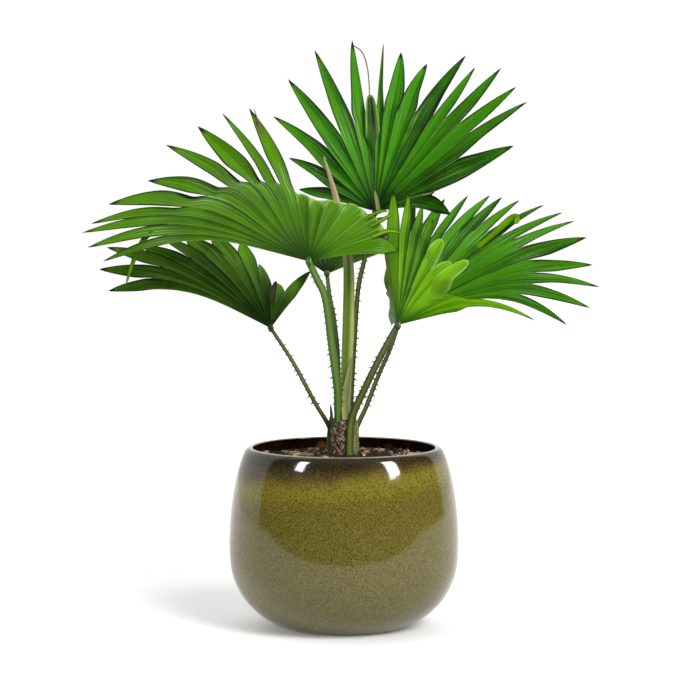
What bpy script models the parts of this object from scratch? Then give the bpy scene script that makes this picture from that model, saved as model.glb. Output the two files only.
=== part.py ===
"""Fan palm in a glazed pot: the pot, its soil, the fibrous stem, six fan fronds and a spear leaf.

Lengths in the lists and constants are millimetres, angles are degrees, and MM turns a length
into metres. +Z is up, the origin is at the middle of the pot's foot, and the plant's front
looks towards -Y.
"""
import math
import random

import bmesh
import bpy
from mathutils import Matrix, Vector

MM = 0.001

# Pot: a turned stoneware wall, outer outline from the rim down to the foot (radius, height).
POT_WALL = 5.5
POT_OUTLINE = [(99.2, 188.0), (102.8, 185.5), (105.8, 180.0), (109.4, 170.0), (113.8, 153.0),
               (118.6, 122.0), (120.4, 92.0), (119.2, 65.0), (114.0, 46.0), (104.0, 28.0),
               (90.0, 14.0), (76.0, 5.0), (67.0, 1.2)]
POT_RIM = [(95.4, 187.0), (97.0, 188.2)]
POT_FOOT = 65.0
POT_FLOOR = 10.0
INSIDE_TOP = 184.0
INSIDE_HEIGHTS = (176.0, 155.0, 125.0, 90.0, 60.0, 38.0, 24.0)
FLOOR_CORNER = 12.0
POT_SIDES = 40
OUTLINE_STEPS = 1

# Soil: its top lies below the rim and rises a little to the stem, with chips of bark on it.
GAP = 0.3
SOIL_EDGE = 176.0
SOIL_MOUND = 7.0
MOUND_WIDTH = 34.0
SOIL_RINGS = 5
CHIP_COUNT = 26
CHIP_SIZE = (5.0, 11.0)
CHIP_RING = (24.0, 60.0)
CHIP_WIDTH = 0.55
CHIP_THICKNESS = 2.6
CHIP_TILT = 16.0
CHIP_RISE = 0.4

# Stem: short, clothed in crossed fibres, standing in a round hole in the soil.
STEM_BOTTOM = 150.0
STEM_TOP = 223.0
STEM_RADIUS = 14.5
STEM_SIDES = 24
STEM_RINGS = 13
STEM_TAPER = 0.34
TAPER_FROM = 0.55
FIBRE_RELIEF = 0.8
FIBRES_FROM = 172.0
STEM_EASE = 1.2
HOLE_TOP = 200.0
SOCKET_EASE = 1.1
SOCKET_RISE = 24.0

# Fronds: a thin pleated blade, a round petiole and two rows of spines.
BLADE_THICKNESS = 0.8
BLADE_START = 6.0
PLEAT = 0.42
FUSED_STEPS = 3
FREE_STEPS = 5
TIP_TAPER = 0.7
TIP_FULLNESS = 0.6
OUTER_EDGE = 0.6
DROOP_FROM = 0.2
FOLD_LENGTH = 22.0
HUB_LUMP = (6.5, 3.4)
SPINE_SPACING = 13.0
SPINE_START = STEM_TOP + 9.0
SPINE_END = 0.88
SPINE_LENGTH = 3.6
SPINE_RADIUS = 0.8
SPINE_ROOT = 1.0
SPINE_HOOK = 0.45
SPINE_SHRINK = 0.45
SEED = 12

GREEN = (0.075, 0.235, 0.012)
LIME = (0.130, 0.370, 0.012)
DARK_GREEN = (0.040, 0.130, 0.012)

# Each frond: where its hub is, which way the middle finger points (azimuth, elevation), how far
# each half of the fan leans towards its face, the petiole's route up from the stem, its radius
# at the base and at the hub, and the fingers. A finger is its bearing from the middle, its
# reach, how far out it is still joined to its neighbours, how far it turns down along its
# length, and where it is folded over to the blade's back, or 0 where it isn't.
FRONDS = {
    "frond_top": {
        "hub": (33, 42, 433), "middle": (88, 70), "lean": (12, 12), "colour": GREEN,
        "petiole": [(7, 10, 172), (7, 10, 215), (8, 12, 247), (11, 17, 298), (15, 26, 352),
                    (22, 34, 384)],
        "radius": (2.9, 2.2),
        "fingers": [(74, 84, 50, 8, 0), (58, 107, 62, 6, 0), (46, 148, 80, 6, 0),
                    (31, 172, 86, 8, 0), (19, 191, 91, 6, 0), (8, 192, 98, 0, 0),
                    (3, 150, 108, 130, 124), (-2, 190, 106, 4, 0), (-8, 180, 108, 3, 0),
                    (-17, 172, 110, 6, 0), (-29, 194, 114, 3, 0), (-35, 187, 118, 0, 0),
                    (-42, 202, 124, 0, 0), (-49, 198, 128, 2, 0), (-56, 196, 122, 0, 0),
                    (-66, 161, 84, 3, 0), (-82, 82, 40, 34, 0)],
    },
    "frond_left_upper": {
        "hub": (-36, -72, 386), "middle": (100, 62), "lean": (26, 0), "colour": GREEN,
        "petiole": [(-5, -7, 175), (-5, -7, 205), (-6, -9, 228), (-7, -15, 252),
                    (-13, -31, 299), (-19, -51, 346), (-28, -64, 368)],
        "radius": (5.0, 3.4),
        "fingers": [(87, 240, 176, 33, 0), (84, 254, 186, 32, 0), (80, 258, 188, 33, 0),
                    (76, 247, 172, 36, 0), (70, 228, 152, 35, 0), (59, 190, 132, 32, 0),
                    (48, 188, 120, 22, 0), (37, 178, 108, 14, 0), (26, 178, 100, 12, 0),
                    (15, 180, 90, 13, 0), (2, 116, 74, 120, 80), (-12, 108, 68, 118, 73),
                    (-27, 112, 72, 112, 78), (-43, 120, 78, 104, 86), (-60, 122, 80, 92, 90),
                    (-76, 96, 74, 16, 0)],
    },
    "frond_left_lower": {
        "hub": (-77, 24, 311), "middle": (100, 42), "lean": (32, 0), "colour": DARK_GREEN,
        "petiole": [(-10, 0, 168), (-11, 0, 190), (-16, 1, 210), (-31, 5, 235), (-53, 13, 275)],
        "radius": (2.8, 1.9),
        "fingers": [(86, 197, 150, 32, 0), (80, 205, 140, 28, 0), (74, 199, 132, 20, 0),
                    (65, 165, 112, 18, 0), (55, 152, 106, 14, 0), (40, 137, 97, 16, 0),
                    (25, 136, 93, 12, 0), (11, 120, 90, 0, 0), (0, 100, 76, 8, 0),
                    (-13, 74, 48, 14, 0), (-30, 104, 60, 8, 0)],
    },
    "frond_right_far": {
        "hub": (60, 44, 320), "middle": (80, 47), "lean": (0, 14), "colour": DARK_GREEN,
        "petiole": [(11, 2, 168), (11, 2, 200), (24, 8, 231), (36, 16, 261), (49, 29, 289)],
        "radius": (2.8, 2.0),
        "fingers": [(2, 200, 112, 8, 0), (-9, 178, 98, 12, 0), (-16, 186, 104, 14, 0),
                    (-24, 188, 116, 12, 0), (-31, 184, 122, 6, 0), (-38, 188, 126, 5, 0),
                    (-45, 200, 132, 8, 0), (-51, 208, 140, 10, 0), (-57, 211, 144, 9, 0),
                    (-64, 214, 145, 11, 0), (-69, 212, 148, 22, 0), (-73, 216, 146, 31, 0),
                    (-76, 208, 138, 40, 0), (-80, 186, 124, 46, 0)],
    },
    "frond_right_near": {
        "hub": (55, -56, 320), "middle": (95, 64), "lean": (-91, 16), "colour": LIME,
        "petiole": [(6, -15, 168), (6, -15, 200), (9, -15, 222), (20, -21, 248),
                    (38, -39, 287)],
        "radius": (4.5, 3.2),
        "fingers": [(60, 74, 50, 20, 0), (44, 92, 62, 14, 0), (28, 112, 76, 8, 0),
                    (13, 132, 92, 4, 0), (-1, 147, 104, 2, 0), (-7, 166, 112, 128, 134),
                    (-16, 138, 96, 122, 105), (-26, 134, 90, 114, 100), (-38, 130, 88, 106, 97),
                    (-52, 124, 84, 98, 94), (-70, 138, 78, 30, 0)],
    },
    "frond_back": {
        "hub": (-18, 45, 367), "middle": (88, 26), "lean": (0, 0), "colour": GREEN,
        "petiole": [(-6, 9, 172), (-6, 9, 215), (-6, 12, 255), (-7, 18, 290), (-11, 30, 324),
                    (-15, 38, 344)],
        "radius": (2.9, 2.0),
        "fingers": [(38, 136, 90, 10, 0), (26, 152, 98, 8, 0), (14, 164, 104, 6, 0),
                    (2, 168, 108, 6, 0), (-10, 164, 104, 6, 0), (-22, 150, 96, 6, 0),
                    (-35, 124, 80, 6, 0), (-50, 88, 60, 3, 0)],
    },
}

# Spear leaf: the newest frond, still closed, rising from the middle of the stem.
SPEAR_ROUTE = [(1, 3, 170), (1, 3, 215), (2, 1, 258), (4.5, 0, 321), (4, 0, 386),
               (-7, 0, 443), (-21, 0, 491)]
SPEAR_RADIUS = [5.2, 5.2, 5.8, 6.4, 5.4, 3.6, 0.9]


def clear_scene():
    for old in list(bpy.data.objects):
        bpy.data.objects.remove(old, do_unlink=True)


def new_collection(name):
    collection = bpy.data.collections.new(name)
    bpy.context.scene.collection.children.link(collection)
    return collection


def add_object(name, mesh, collection):
    piece = bpy.data.objects.new(name, mesh)
    collection.objects.link(piece)
    return piece


def give_material(piece, colour, roughness):
    material = bpy.data.materials.new(piece.name)
    material.use_nodes = True
    shader = material.node_tree.nodes["Principled BSDF"]
    shader.inputs["Base Color"].default_value = (*colour, 1.0)
    shader.inputs["Roughness"].default_value = roughness
    piece.data.materials.clear()
    piece.data.materials.append(material)


def smooth_step(t):
    t = min(max(t, 0.0), 1.0)
    return t * t * (3.0 - 2.0 * t)


def smooth_route(points, steps):
    """Points along a smooth curve through the given ones, steps to each span."""
    points = [Vector(p) for p in points]
    ends = [2 * points[0] - points[1]] + points + [2 * points[-1] - points[-2]]
    route = []
    for a, b, c, d in zip(ends, ends[1:], ends[2:], ends[3:]):
        for step in range(steps):
            t = step / steps
            route.append(0.5 * (2 * b + (c - a) * t + (2 * a - 5 * b + 4 * c - d) * t ** 2
                                + (3 * b - a - 3 * c + d) * t ** 3))
    route.append(points[-1])
    return route


def evaluated_mesh(piece):
    """A mesh of its own for a curve or for an object with modifiers."""
    bpy.context.view_layer.update()
    graph = bpy.context.evaluated_depsgraph_get()
    mesh = bpy.data.meshes.new_from_object(piece.evaluated_get(graph))
    mesh.transform(piece.matrix_world)
    return mesh


def weld(mesh, distance=1e-6):
    shape = bmesh.new()
    shape.from_mesh(mesh)
    bmesh.ops.remove_doubles(shape, verts=shape.verts, dist=distance)
    shape.to_mesh(mesh)
    shape.free()
    return mesh


def tube(name, route, radii, collection, sides=2):
    """A round stem along a route, thick as the radii say, closed at both ends."""
    curve = bpy.data.curves.new(name, "CURVE")
    curve.dimensions = "3D"
    curve.bevel_depth = MM
    curve.bevel_resolution = sides
    curve.use_fill_caps = True
    line = curve.splines.new("POLY")
    line.points.add(len(route) - 1)
    for point, place, radius in zip(line.points, route, radii):
        point.co = (*(place * MM), 1.0)
        point.radius = radius
    guide = add_object(name, curve, collection)
    piece = add_object(name + "_mesh", weld(evaluated_mesh(guide)), collection)
    bpy.data.objects.remove(guide)
    return piece


def turned(name, outline, sides, collection):
    """A solid of revolution round Z from a closed or axis-to-axis outline (radius, height)."""
    mesh = bpy.data.meshes.new(name)
    shape = bmesh.new()
    corners = [shape.verts.new((r * MM, 0.0, z * MM)) for r, z in outline]
    for a, b in zip(corners, corners[1:]):
        shape.edges.new((a, b))
    shape.to_mesh(mesh)
    shape.free()
    piece = add_object(name, mesh, collection)
    screw = piece.modifiers.new("turn", "SCREW")
    screw.steps = sides
    screw.render_steps = sides
    screw.use_merge_vertices = True
    screw.merge_threshold = 0.00001
    screw.use_smooth_shade = True
    piece.data = weld(evaluated_mesh(piece))
    piece.modifiers.clear()
    return piece


def combine(piece, helpers, operation, solver):
    """One Boolean on a collection, applied, with the collection's objects removed."""
    group = bpy.data.collections.new(piece.name + "_tools")
    bpy.context.scene.collection.children.link(group)
    for helper in helpers:
        for owner in list(helper.users_collection):
            owner.objects.unlink(helper)
        group.objects.link(helper)
    change = piece.modifiers.new("combine", "BOOLEAN")
    change.operation = operation
    change.operand_type = "COLLECTION"
    change.collection = group
    change.solver = solver
    piece.data = weld(evaluated_mesh(piece))
    piece.modifiers.clear()
    for helper in helpers:
        bpy.data.objects.remove(helper)
    bpy.data.collections.remove(group)
    return piece


def pot_profile():
    """The outer outline as a smooth curve, from the rim's crest down to the foot."""
    points = [(r, z, 0.0) for r, z in POT_OUTLINE]
    return [(p.x, p.y) for p in smooth_route(points, OUTLINE_STEPS)]


def pot_inside(height):
    """The inner wall's radius at a height, a wall's thickness inside the outer outline."""
    outline = pot_profile()
    for (r0, z0), (r1, z1) in zip(outline, outline[1:]):
        if z1 <= height <= z0:
            return r0 + (r1 - r0) * (z0 - height) / (z0 - z1) - POT_WALL
    return outline[0][0] - POT_WALL


def inner_outline(top, clearance):
    """The wall's inner face from a height down to the floor's middle."""
    heights = [top] + [z for z in INSIDE_HEIGHTS if z < top]
    outline = [(pot_inside(z) - clearance, z) for z in heights]
    corner = pot_inside(INSIDE_HEIGHTS[-1]) - FLOOR_CORNER - clearance
    return outline + [(corner, POT_FLOOR + clearance), (0.0, POT_FLOOR + clearance)]


def build_pot(collection):
    inside = inner_outline(INSIDE_TOP, 0.0)
    foot = [(POT_FOOT, 0.0), (0.0, 0.0)]
    outline = list(reversed(inside)) + POT_RIM + pot_profile() + foot
    pot = turned("pot", outline, POT_SIDES, collection)
    give_material(pot, (0.150, 0.130, 0.025), 0.18)
    return pot


def soil_top(radius):
    """The soil's height: nearly flat at the wall and mounded round the stem."""
    return SOIL_EDGE + SOIL_MOUND * math.exp(-(radius / MOUND_WIDTH) ** 2)


def bark_chip(number, chance, collection):
    """A flat broken chip of bark, half sunk in the soil."""
    angle = chance.uniform(0.0, 2.0 * math.pi)
    radius = CHIP_RING[0] + CHIP_RING[1] * math.sqrt(chance.random())
    size = chance.uniform(*CHIP_SIZE)
    mesh = bpy.data.meshes.new("chip_%02d" % number)
    shape = bmesh.new()
    bmesh.ops.create_cube(shape, size=MM)
    for corner in shape.verts:
        corner.co.x *= size * chance.uniform(0.8, 1.15)
        corner.co.y *= size * CHIP_WIDTH * chance.uniform(0.8, 1.15)
        corner.co.z *= CHIP_THICKNESS * chance.uniform(0.8, 1.2)
    turn = Matrix.Rotation(chance.uniform(0.0, math.pi), 4, "Z")
    tilt = Matrix.Rotation(math.radians(chance.uniform(-CHIP_TILT, CHIP_TILT)), 4, "X")
    place = Vector((radius * math.cos(angle), radius * math.sin(angle),
                    soil_top(radius) + CHIP_RISE))
    bmesh.ops.transform(shape, matrix=Matrix.Translation(place * MM) @ turn @ tilt,
                        verts=shape.verts)
    shape.to_mesh(mesh)
    shape.free()
    return add_object(mesh.name, mesh, collection)


def build_soil(collection, holes):
    edge = pot_inside(SOIL_EDGE) - GAP
    rings = [edge * k / SOIL_RINGS for k in range(SOIL_RINGS)]
    top = [(r, soil_top(r)) for r in rings]
    outline = top + inner_outline(SOIL_EDGE, GAP)
    soil = turned("soil", outline, POT_SIDES, collection)
    chance = random.Random(SEED)
    chips = [bark_chip(k, chance, collection) for k in range(CHIP_COUNT)]
    combine(soil, chips, "UNION", "MANIFOLD")
    combine(soil, holes, "DIFFERENCE", "MANIFOLD")
    give_material(soil, (0.020, 0.014, 0.009), 0.95)
    return soil


def stem_radius(height, angle):
    """The stem's radius: wider low down, with fibres crossing it both ways."""
    rise = (height - STEM_BOTTOM) / (STEM_TOP - STEM_BOTTOM)
    narrowing = smooth_step((rise - TAPER_FROM) / (1.0 - TAPER_FROM))
    plain = STEM_RADIUS * (1.0 - STEM_TAPER * narrowing)
    crossing = math.sin(7.0 * angle + 0.55 * height) + math.sin(7.0 * angle - 0.55 * height)
    return plain + 0.5 * FIBRE_RELIEF * crossing * smooth_step((height - FIBRES_FROM) / 6.0)


def build_stem(collection, sockets):
    mesh = bpy.data.meshes.new("stem")
    shape = bmesh.new()
    bmesh.ops.create_cone(shape, segments=STEM_SIDES, radius1=1.0, radius2=1.0, depth=1.0,
                          cap_ends=True)
    upright = [e for e in shape.edges if abs(e.verts[0].co.z - e.verts[1].co.z) > 0.5]
    bmesh.ops.subdivide_edges(shape, edges=upright, cuts=STEM_RINGS - 1)
    for corner in shape.verts:
        height = STEM_BOTTOM + (corner.co.z + 0.5) * (STEM_TOP - STEM_BOTTOM)
        angle = math.atan2(corner.co.y, corner.co.x)
        radius = stem_radius(height, angle)
        corner.co = Vector((radius * math.cos(angle), radius * math.sin(angle), height)) * MM
    bmesh.ops.triangulate(shape, faces=shape.faces)
    shape.to_mesh(mesh)
    shape.free()
    stem = add_object("stem", mesh, collection)
    combine(stem, sockets, "DIFFERENCE", "EXACT")
    give_material(stem, (0.115, 0.055, 0.026), 0.85)
    return stem


def fan_axes(frond):
    """The fan's middle direction, its left and its face."""
    azimuth, elevation = (math.radians(v) for v in frond["middle"])
    middle = Vector((math.cos(azimuth) * math.cos(elevation),
                     math.sin(azimuth) * math.cos(elevation), math.sin(elevation)))
    left = Vector((-math.sin(azimuth), math.cos(azimuth), 0.0))
    return middle, left, middle.cross(left)


def finger_start(frond, bearing):
    """The way a finger leaves the hub, with each half of the fan leaning to its face."""
    middle, left, face = fan_axes(frond)
    side = left if bearing > 0 else -left
    lean = math.radians(frond["lean"][0 if bearing > 0 else 1])
    turn = math.radians(abs(bearing))
    return middle * math.cos(turn) + (side * math.cos(lean) + face * math.sin(lean)) * math.sin(turn)


def finger_path(frond, finger):
    """The midrib's place and heading at every millimetre, turned down or folded over."""
    bearing, reach, fused, droop, fold = finger
    start = finger_start(frond, bearing)
    down = -finger_face(frond, finger) if fold else Vector((0.0, 0.0, -1.0))
    across = (down - start * down.dot(start)).normalized()
    place = Vector(frond["hub"])
    path = [(place, start)]
    for k in range(math.ceil(reach) + 1):
        if fold:
            bend = smooth_step((k + 0.5 - fold) / FOLD_LENGTH + 0.5)
        else:
            bend = smooth_step(((k + 0.5) / reach - DROOP_FROM) / (1.0 - DROOP_FROM))
        angle = math.radians(droop) * bend
        heading = start * math.cos(angle) + across * math.sin(angle)
        place = place + heading
        path.append((place, heading))
    return path


def finger_spine(frond, finger, distances):
    """Points and directions of a finger's midrib at the given distances from the hub."""
    path = finger_path(frond, finger)
    spine = []
    for distance in distances:
        k = min(int(distance), len(path) - 2)
        (here, before), (there, after) = path[k], path[k + 1]
        t = distance - k
        spine.append((here.lerp(there, t), before.lerp(after, t).normalized()))
    return spine


def edge_distances(split, reach):
    """Stations along one edge or midrib: out to its split, then on to the tip."""
    joined = [BLADE_START + (split - BLADE_START) * k / FUSED_STEPS
              for k in range(FUSED_STEPS + 1)]
    free = [split + (reach - split) * k / FREE_STEPS for k in range(1, FREE_STEPS + 1)]
    return joined, free


def finger_face(frond, finger):
    """The upper side at a finger, which turns with a half of the fan that leans."""
    middle, left, face = fan_axes(frond)
    bearing = finger[0]
    lean = math.radians(frond["lean"][0 if bearing > 0 else 1])
    side = left if bearing > 0 else -left
    return face * math.cos(lean) - side * math.sin(lean)


def ridge_points(frond, one, other):
    """The ridge that two neighbouring fingers share, halfway between them and raised."""
    split = (one[2] + other[2]) / 2
    joined, free = edge_distances(split, split + 1.0)
    face = finger_face(frond, one)
    ridge = []
    for here, there in zip(finger_spine(frond, one, joined), finger_spine(frond, other, joined)):
        between = there[0] - here[0]
        raised = (here[1] + there[1]).cross(between).normalized()
        if raised.dot(face) < 0:
            raised = -raised
        ridge.append((here[0] + there[0]) / 2 + raised * between.length / 2 * PLEAT)
    return split, ridge


def outer_points(frond, finger, split, inner):
    """The outermost finger's outer edge: its inner edge mirrored over the midrib."""
    joined, free = edge_distances(split, finger[1])
    face = finger_face(frond, finger)
    outer = []
    for (place, along), edge in zip(finger_spine(frond, finger, joined), inner):
        offset = edge - place
        raised = (face - along * face.dot(along)).normalized()
        outer.append(place + (2 * raised * offset.dot(raised) - offset) * OUTER_EDGE)
    return split, outer


def whole_edge(frond, finger, split, joined_points):
    """An edge out to its split, and on to the tip, carried along by the midrib."""
    joined, free = edge_distances(split, finger[1])
    spine = finger_spine(frond, finger, [split] + free)
    place, before = spine[0]
    offset = joined_points[-1] - place
    offset = offset - before * offset.dot(before)
    run = list(joined_points)
    for k, (place, heading) in enumerate(spine[1:], 1):
        offset = before.rotation_difference(heading) @ offset
        before = heading
        out = k / FREE_STEPS
        run.append(place + offset * (1.0 - out) ** TIP_TAPER * (1.0 + TIP_FULLNESS * out))
    return run


def flat_tip(midrib, left, right):
    """The midrib lifted between the two edges towards the tip, so the pleat flattens out."""
    run = list(midrib)
    for k in range(1, FREE_STEPS + 1):
        row = FUSED_STEPS + k
        run[row] = midrib[row].lerp((left[row] + right[row]) / 2, k / FREE_STEPS)
    return run


def finger_strip(midrib, left, right, name, collection):
    """One finger as a strip of grid: its left edge, midrib and right edge."""
    rows = len(midrib)
    mesh = bpy.data.meshes.new(name)
    shape = bmesh.new()
    bmesh.ops.create_grid(shape, x_segments=rows - 1, y_segments=2, size=0.5)
    for corner in shape.verts:
        row = round((corner.co.x + 0.5) * (rows - 1))
        column = round((corner.co.y + 0.5) * 2)
        corner.co = (left, midrib, right)[column][row] * MM
    shape.to_mesh(mesh)
    shape.free()
    return add_object(name, mesh, collection)


def blade_sheet(name, frond, collection):
    """The pleated sheet of a fan: neighbouring fingers share a ridge up to their split."""
    fingers = frond["fingers"]
    ridges = [ridge_points(frond, a, b) for a, b in zip(fingers, fingers[1:])]
    first = outer_points(frond, fingers[0], *ridges[0])
    last = outer_points(frond, fingers[-1], *ridges[-1])
    ridges = [first] + ridges + [last]
    strips = []
    for i, finger in enumerate(fingers):
        joined, free = edge_distances(finger[2], finger[1])
        midrib = [place for place, along in finger_spine(frond, finger, joined + free)]
        left = whole_edge(frond, finger, *ridges[i])
        right = whole_edge(frond, finger, *ridges[i + 1])
        midrib = flat_tip(midrib, left, right)
        strips.append(finger_strip(midrib, left, right, "%s_finger_%d" % (name, i), collection))
    return join_strips(name + "_blade", strips, collection)


def join_strips(name, strips, collection):
    shape = bmesh.new()
    for strip in strips:
        shape.from_mesh(strip.data)
        bpy.data.objects.remove(strip)
    bmesh.ops.remove_doubles(shape, verts=shape.verts, dist=1e-6)
    bmesh.ops.recalc_face_normals(shape, faces=shape.faces)
    bmesh.ops.triangulate(shape, faces=shape.faces, quad_method="SHORT_EDGE")
    mesh = bpy.data.meshes.new(name)
    shape.to_mesh(mesh)
    shape.free()
    blade = add_object(name, mesh, collection)
    thicken = blade.modifiers.new("thickness", "SOLIDIFY")
    thicken.thickness = BLADE_THICKNESS * MM
    thicken.offset = 0.0
    blade.data = evaluated_mesh(blade)
    blade.modifiers.clear()
    return blade


def petiole_route(frond):
    return smooth_route(frond["petiole"] + [frond["hub"]], 4)


def petiole_radii(frond, count):
    base, end = frond["radius"]
    return [base + (end - base) * k / (count - 1) for k in range(count)]


def spine_thorns(name, frond, collection):
    """Short hooked spines in two rows along the petiole, smaller towards the blade."""
    route = petiole_route(frond)
    radii = petiole_radii(frond, len(route))
    thorns = []
    length = sum((b - a).length for a, b in zip(route, route[1:]))
    travelled = 0.0
    due = 0.0
    for a, b, radius in zip(route, route[1:], radii):
        span = (b - a).length
        if b.z < SPINE_START:
            due = travelled + span
        while due < travelled + span and due < SPINE_END * length:
            place = a.lerp(b, (due - travelled) / span)
            along = (b - a).normalized()
            outward = along.cross(Vector((0.0, 1.0, 0.0))).normalized()
            side = 1 if len(thorns) % 2 else -1
            thorns.append(thorn("%s_thorn_%d" % (name, len(thorns)), place, along,
                                outward * side, radius, 1.0 - SPINE_SHRINK * due / length,
                                collection))
            due += SPINE_SPACING / 2
        travelled += span
    return thorns


def thorn(name, place, along, outward, radius, size, collection):
    """One spine, its root sunk in the petiole and its point hooked back towards the stem."""
    length = SPINE_LENGTH * size + SPINE_ROOT
    mesh = bpy.data.meshes.new(name)
    shape = bmesh.new()
    bmesh.ops.create_cone(shape, segments=3, radius1=SPINE_RADIUS * MM, radius2=0.0,
                          depth=length * MM, cap_ends=True)
    heading = (outward - SPINE_HOOK * along).normalized()
    turn = Vector((0.0, 0.0, 1.0)).rotation_difference(heading).to_matrix().to_4x4()
    middle = place + outward * (radius - SPINE_ROOT) + heading * length / 2
    bmesh.ops.transform(shape, matrix=Matrix.Translation(middle * MM) @ turn, verts=shape.verts)
    shape.to_mesh(mesh)
    shape.free()
    return add_object(name, mesh, collection)


def hub_lump(name, frond, collection):
    """The thick joint where the petiole spreads into the blade."""
    middle, left, face = fan_axes(frond)
    mesh = bpy.data.meshes.new(name)
    shape = bmesh.new()
    bmesh.ops.create_uvsphere(shape, u_segments=10, v_segments=6, radius=MM)
    turn = Matrix((middle, left, face)).transposed()
    for corner in shape.verts:
        local = Vector((corner.co.x * HUB_LUMP[0], corner.co.y * HUB_LUMP[0],
                        corner.co.z * HUB_LUMP[1]))
        corner.co = turn @ local + Vector(frond["hub"]) * MM
    shape.to_mesh(mesh)
    shape.free()
    return add_object(name, mesh, collection)


def build_frond(name, frond, collection):
    route = petiole_route(frond)
    frond_piece = tube(name, route, petiole_radii(frond, len(route)), collection)
    frond_piece.name = name
    helpers = [blade_sheet(name, frond, collection), hub_lump(name + "_hub", frond, collection)]
    helpers += spine_thorns(name, frond, collection)
    combine(frond_piece, helpers, "UNION", "MANIFOLD")
    give_material(frond_piece, frond["colour"], 0.35)
    return frond_piece


def stem_socket(name, frond, collection):
    """The plain hole that a petiole's foot stands in, a little wider than the petiole."""
    route = petiole_route(frond)
    radii = [(r + GAP) * SOCKET_EASE for r in petiole_radii(frond, len(route))]
    first = route[0] - (route[1] - route[0]).normalized() * GAP
    low = [p for p in route if p.z < STEM_TOP + SOCKET_RISE]
    return tube(name + "_socket", [first] + low, [radii[0]] + radii, collection)


def build_spear(collection):
    route = smooth_route(SPEAR_ROUTE, 3)
    widths = [r.x for r in smooth_route([(r, 0, 0) for r in SPEAR_RADIUS], 3)]
    spear = tube("spear_leaf", route, widths, collection, sides=2)
    spear.name = "spear_leaf"
    give_material(spear, (0.165, 0.200, 0.045), 0.45)
    return spear


def spear_socket(collection):
    """The plain hole in the stem that the spear leaf rises from."""
    foot = Vector(SPEAR_ROUTE[0]) - Vector((0.0, 0.0, GAP))
    route = [p for p in smooth_route(SPEAR_ROUTE, 3) if p.z < STEM_TOP + SOCKET_RISE]
    radius = (SPEAR_RADIUS[1] + GAP) * SOCKET_EASE
    return tube("spear_socket", [foot] + route, [radius] * (len(route) + 1), collection)


def stem_hole(collection):
    """The round hole in the soil that the stem stands in."""
    route = [Vector((0, 0, STEM_BOTTOM - GAP)), Vector((0, 0, HOLE_TOP))]
    return tube("stem_hole", route, [STEM_RADIUS + STEM_EASE] * 2, collection, sides=5)


def main():
    clear_scene()
    plant = new_collection("potted_fan_palm")
    for name, frond in FRONDS.items():
        build_frond(name, frond, plant)
    build_spear(plant)
    sockets = [stem_socket(name, frond, plant) for name, frond in FRONDS.items()]
    build_stem(plant, sockets + [spear_socket(plant)])
    sockets = [stem_socket(name, frond, plant) for name, frond in FRONDS.items()]
    build_soil(plant, sockets + [stem_hole(plant)])
    build_pot(plant)


main()
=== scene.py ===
# %% [markdown]
# # A young fan palm in a glazed pot
# The imported part gives the plain solids: pot, soil, stem, six fronds and a spear leaf. This script
# dresses them as the real plant looks. Every length in a list or a constant is in millimetres, as
# in the part's source, and MM turns it into metres.

# %% Load the imported part
import math
import random

import bpy
import numpy as np
from mathutils import Matrix, Vector, noise


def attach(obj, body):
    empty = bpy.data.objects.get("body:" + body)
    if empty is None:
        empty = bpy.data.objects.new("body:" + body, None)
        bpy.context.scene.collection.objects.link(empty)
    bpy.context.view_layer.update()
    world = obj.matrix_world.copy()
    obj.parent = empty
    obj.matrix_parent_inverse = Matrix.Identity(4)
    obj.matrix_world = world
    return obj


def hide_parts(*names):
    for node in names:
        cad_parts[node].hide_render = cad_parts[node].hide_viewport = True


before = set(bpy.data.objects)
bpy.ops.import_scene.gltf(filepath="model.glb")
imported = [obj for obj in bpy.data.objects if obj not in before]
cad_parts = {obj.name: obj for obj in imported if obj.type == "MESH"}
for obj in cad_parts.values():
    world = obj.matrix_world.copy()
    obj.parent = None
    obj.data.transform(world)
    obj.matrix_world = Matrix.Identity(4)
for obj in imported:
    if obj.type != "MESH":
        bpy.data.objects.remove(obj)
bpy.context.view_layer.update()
MM = 0.001

# %% [markdown]
# ## The camera
# The photograph was taken with a long lens from three metres away, level with the fronds and
# looking down about four degrees, which is read from how open the rim's ellipse is. A camera
# object needs only a place, a tilt and a focal length, so it comes first: everything after it can
# be compared with the photograph at once.

# %% Camera at the photograph's angle
CAMERA_PLACE = (-0.0047, -3.0, 0.532)
CAMERA_DOWN = 4.41
CAMERA_LENS = 152.97
bpy.ops.object.camera_add(location=CAMERA_PLACE,
                          rotation=(math.radians(90.0 - CAMERA_DOWN), 0.0, 0.0))
camera = bpy.context.object
camera.data.sensor_width = 36.0
camera.data.lens = CAMERA_LENS
bpy.context.scene.camera = camera
print("camera", CAMERA_PLACE, "lens", CAMERA_LENS)

# %% [markdown]
# ## Writing node materials as sums
# A procedural finish is arithmetic on coordinates, and node by node that takes pages. One small
# class wraps a socket, so that Python's own operators add the Math nodes, and another holds the
# node tree with one method that makes any other node. The rest of the script can then say
# `rim = 1 - height / 20` and get the nodes for it.

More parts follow.
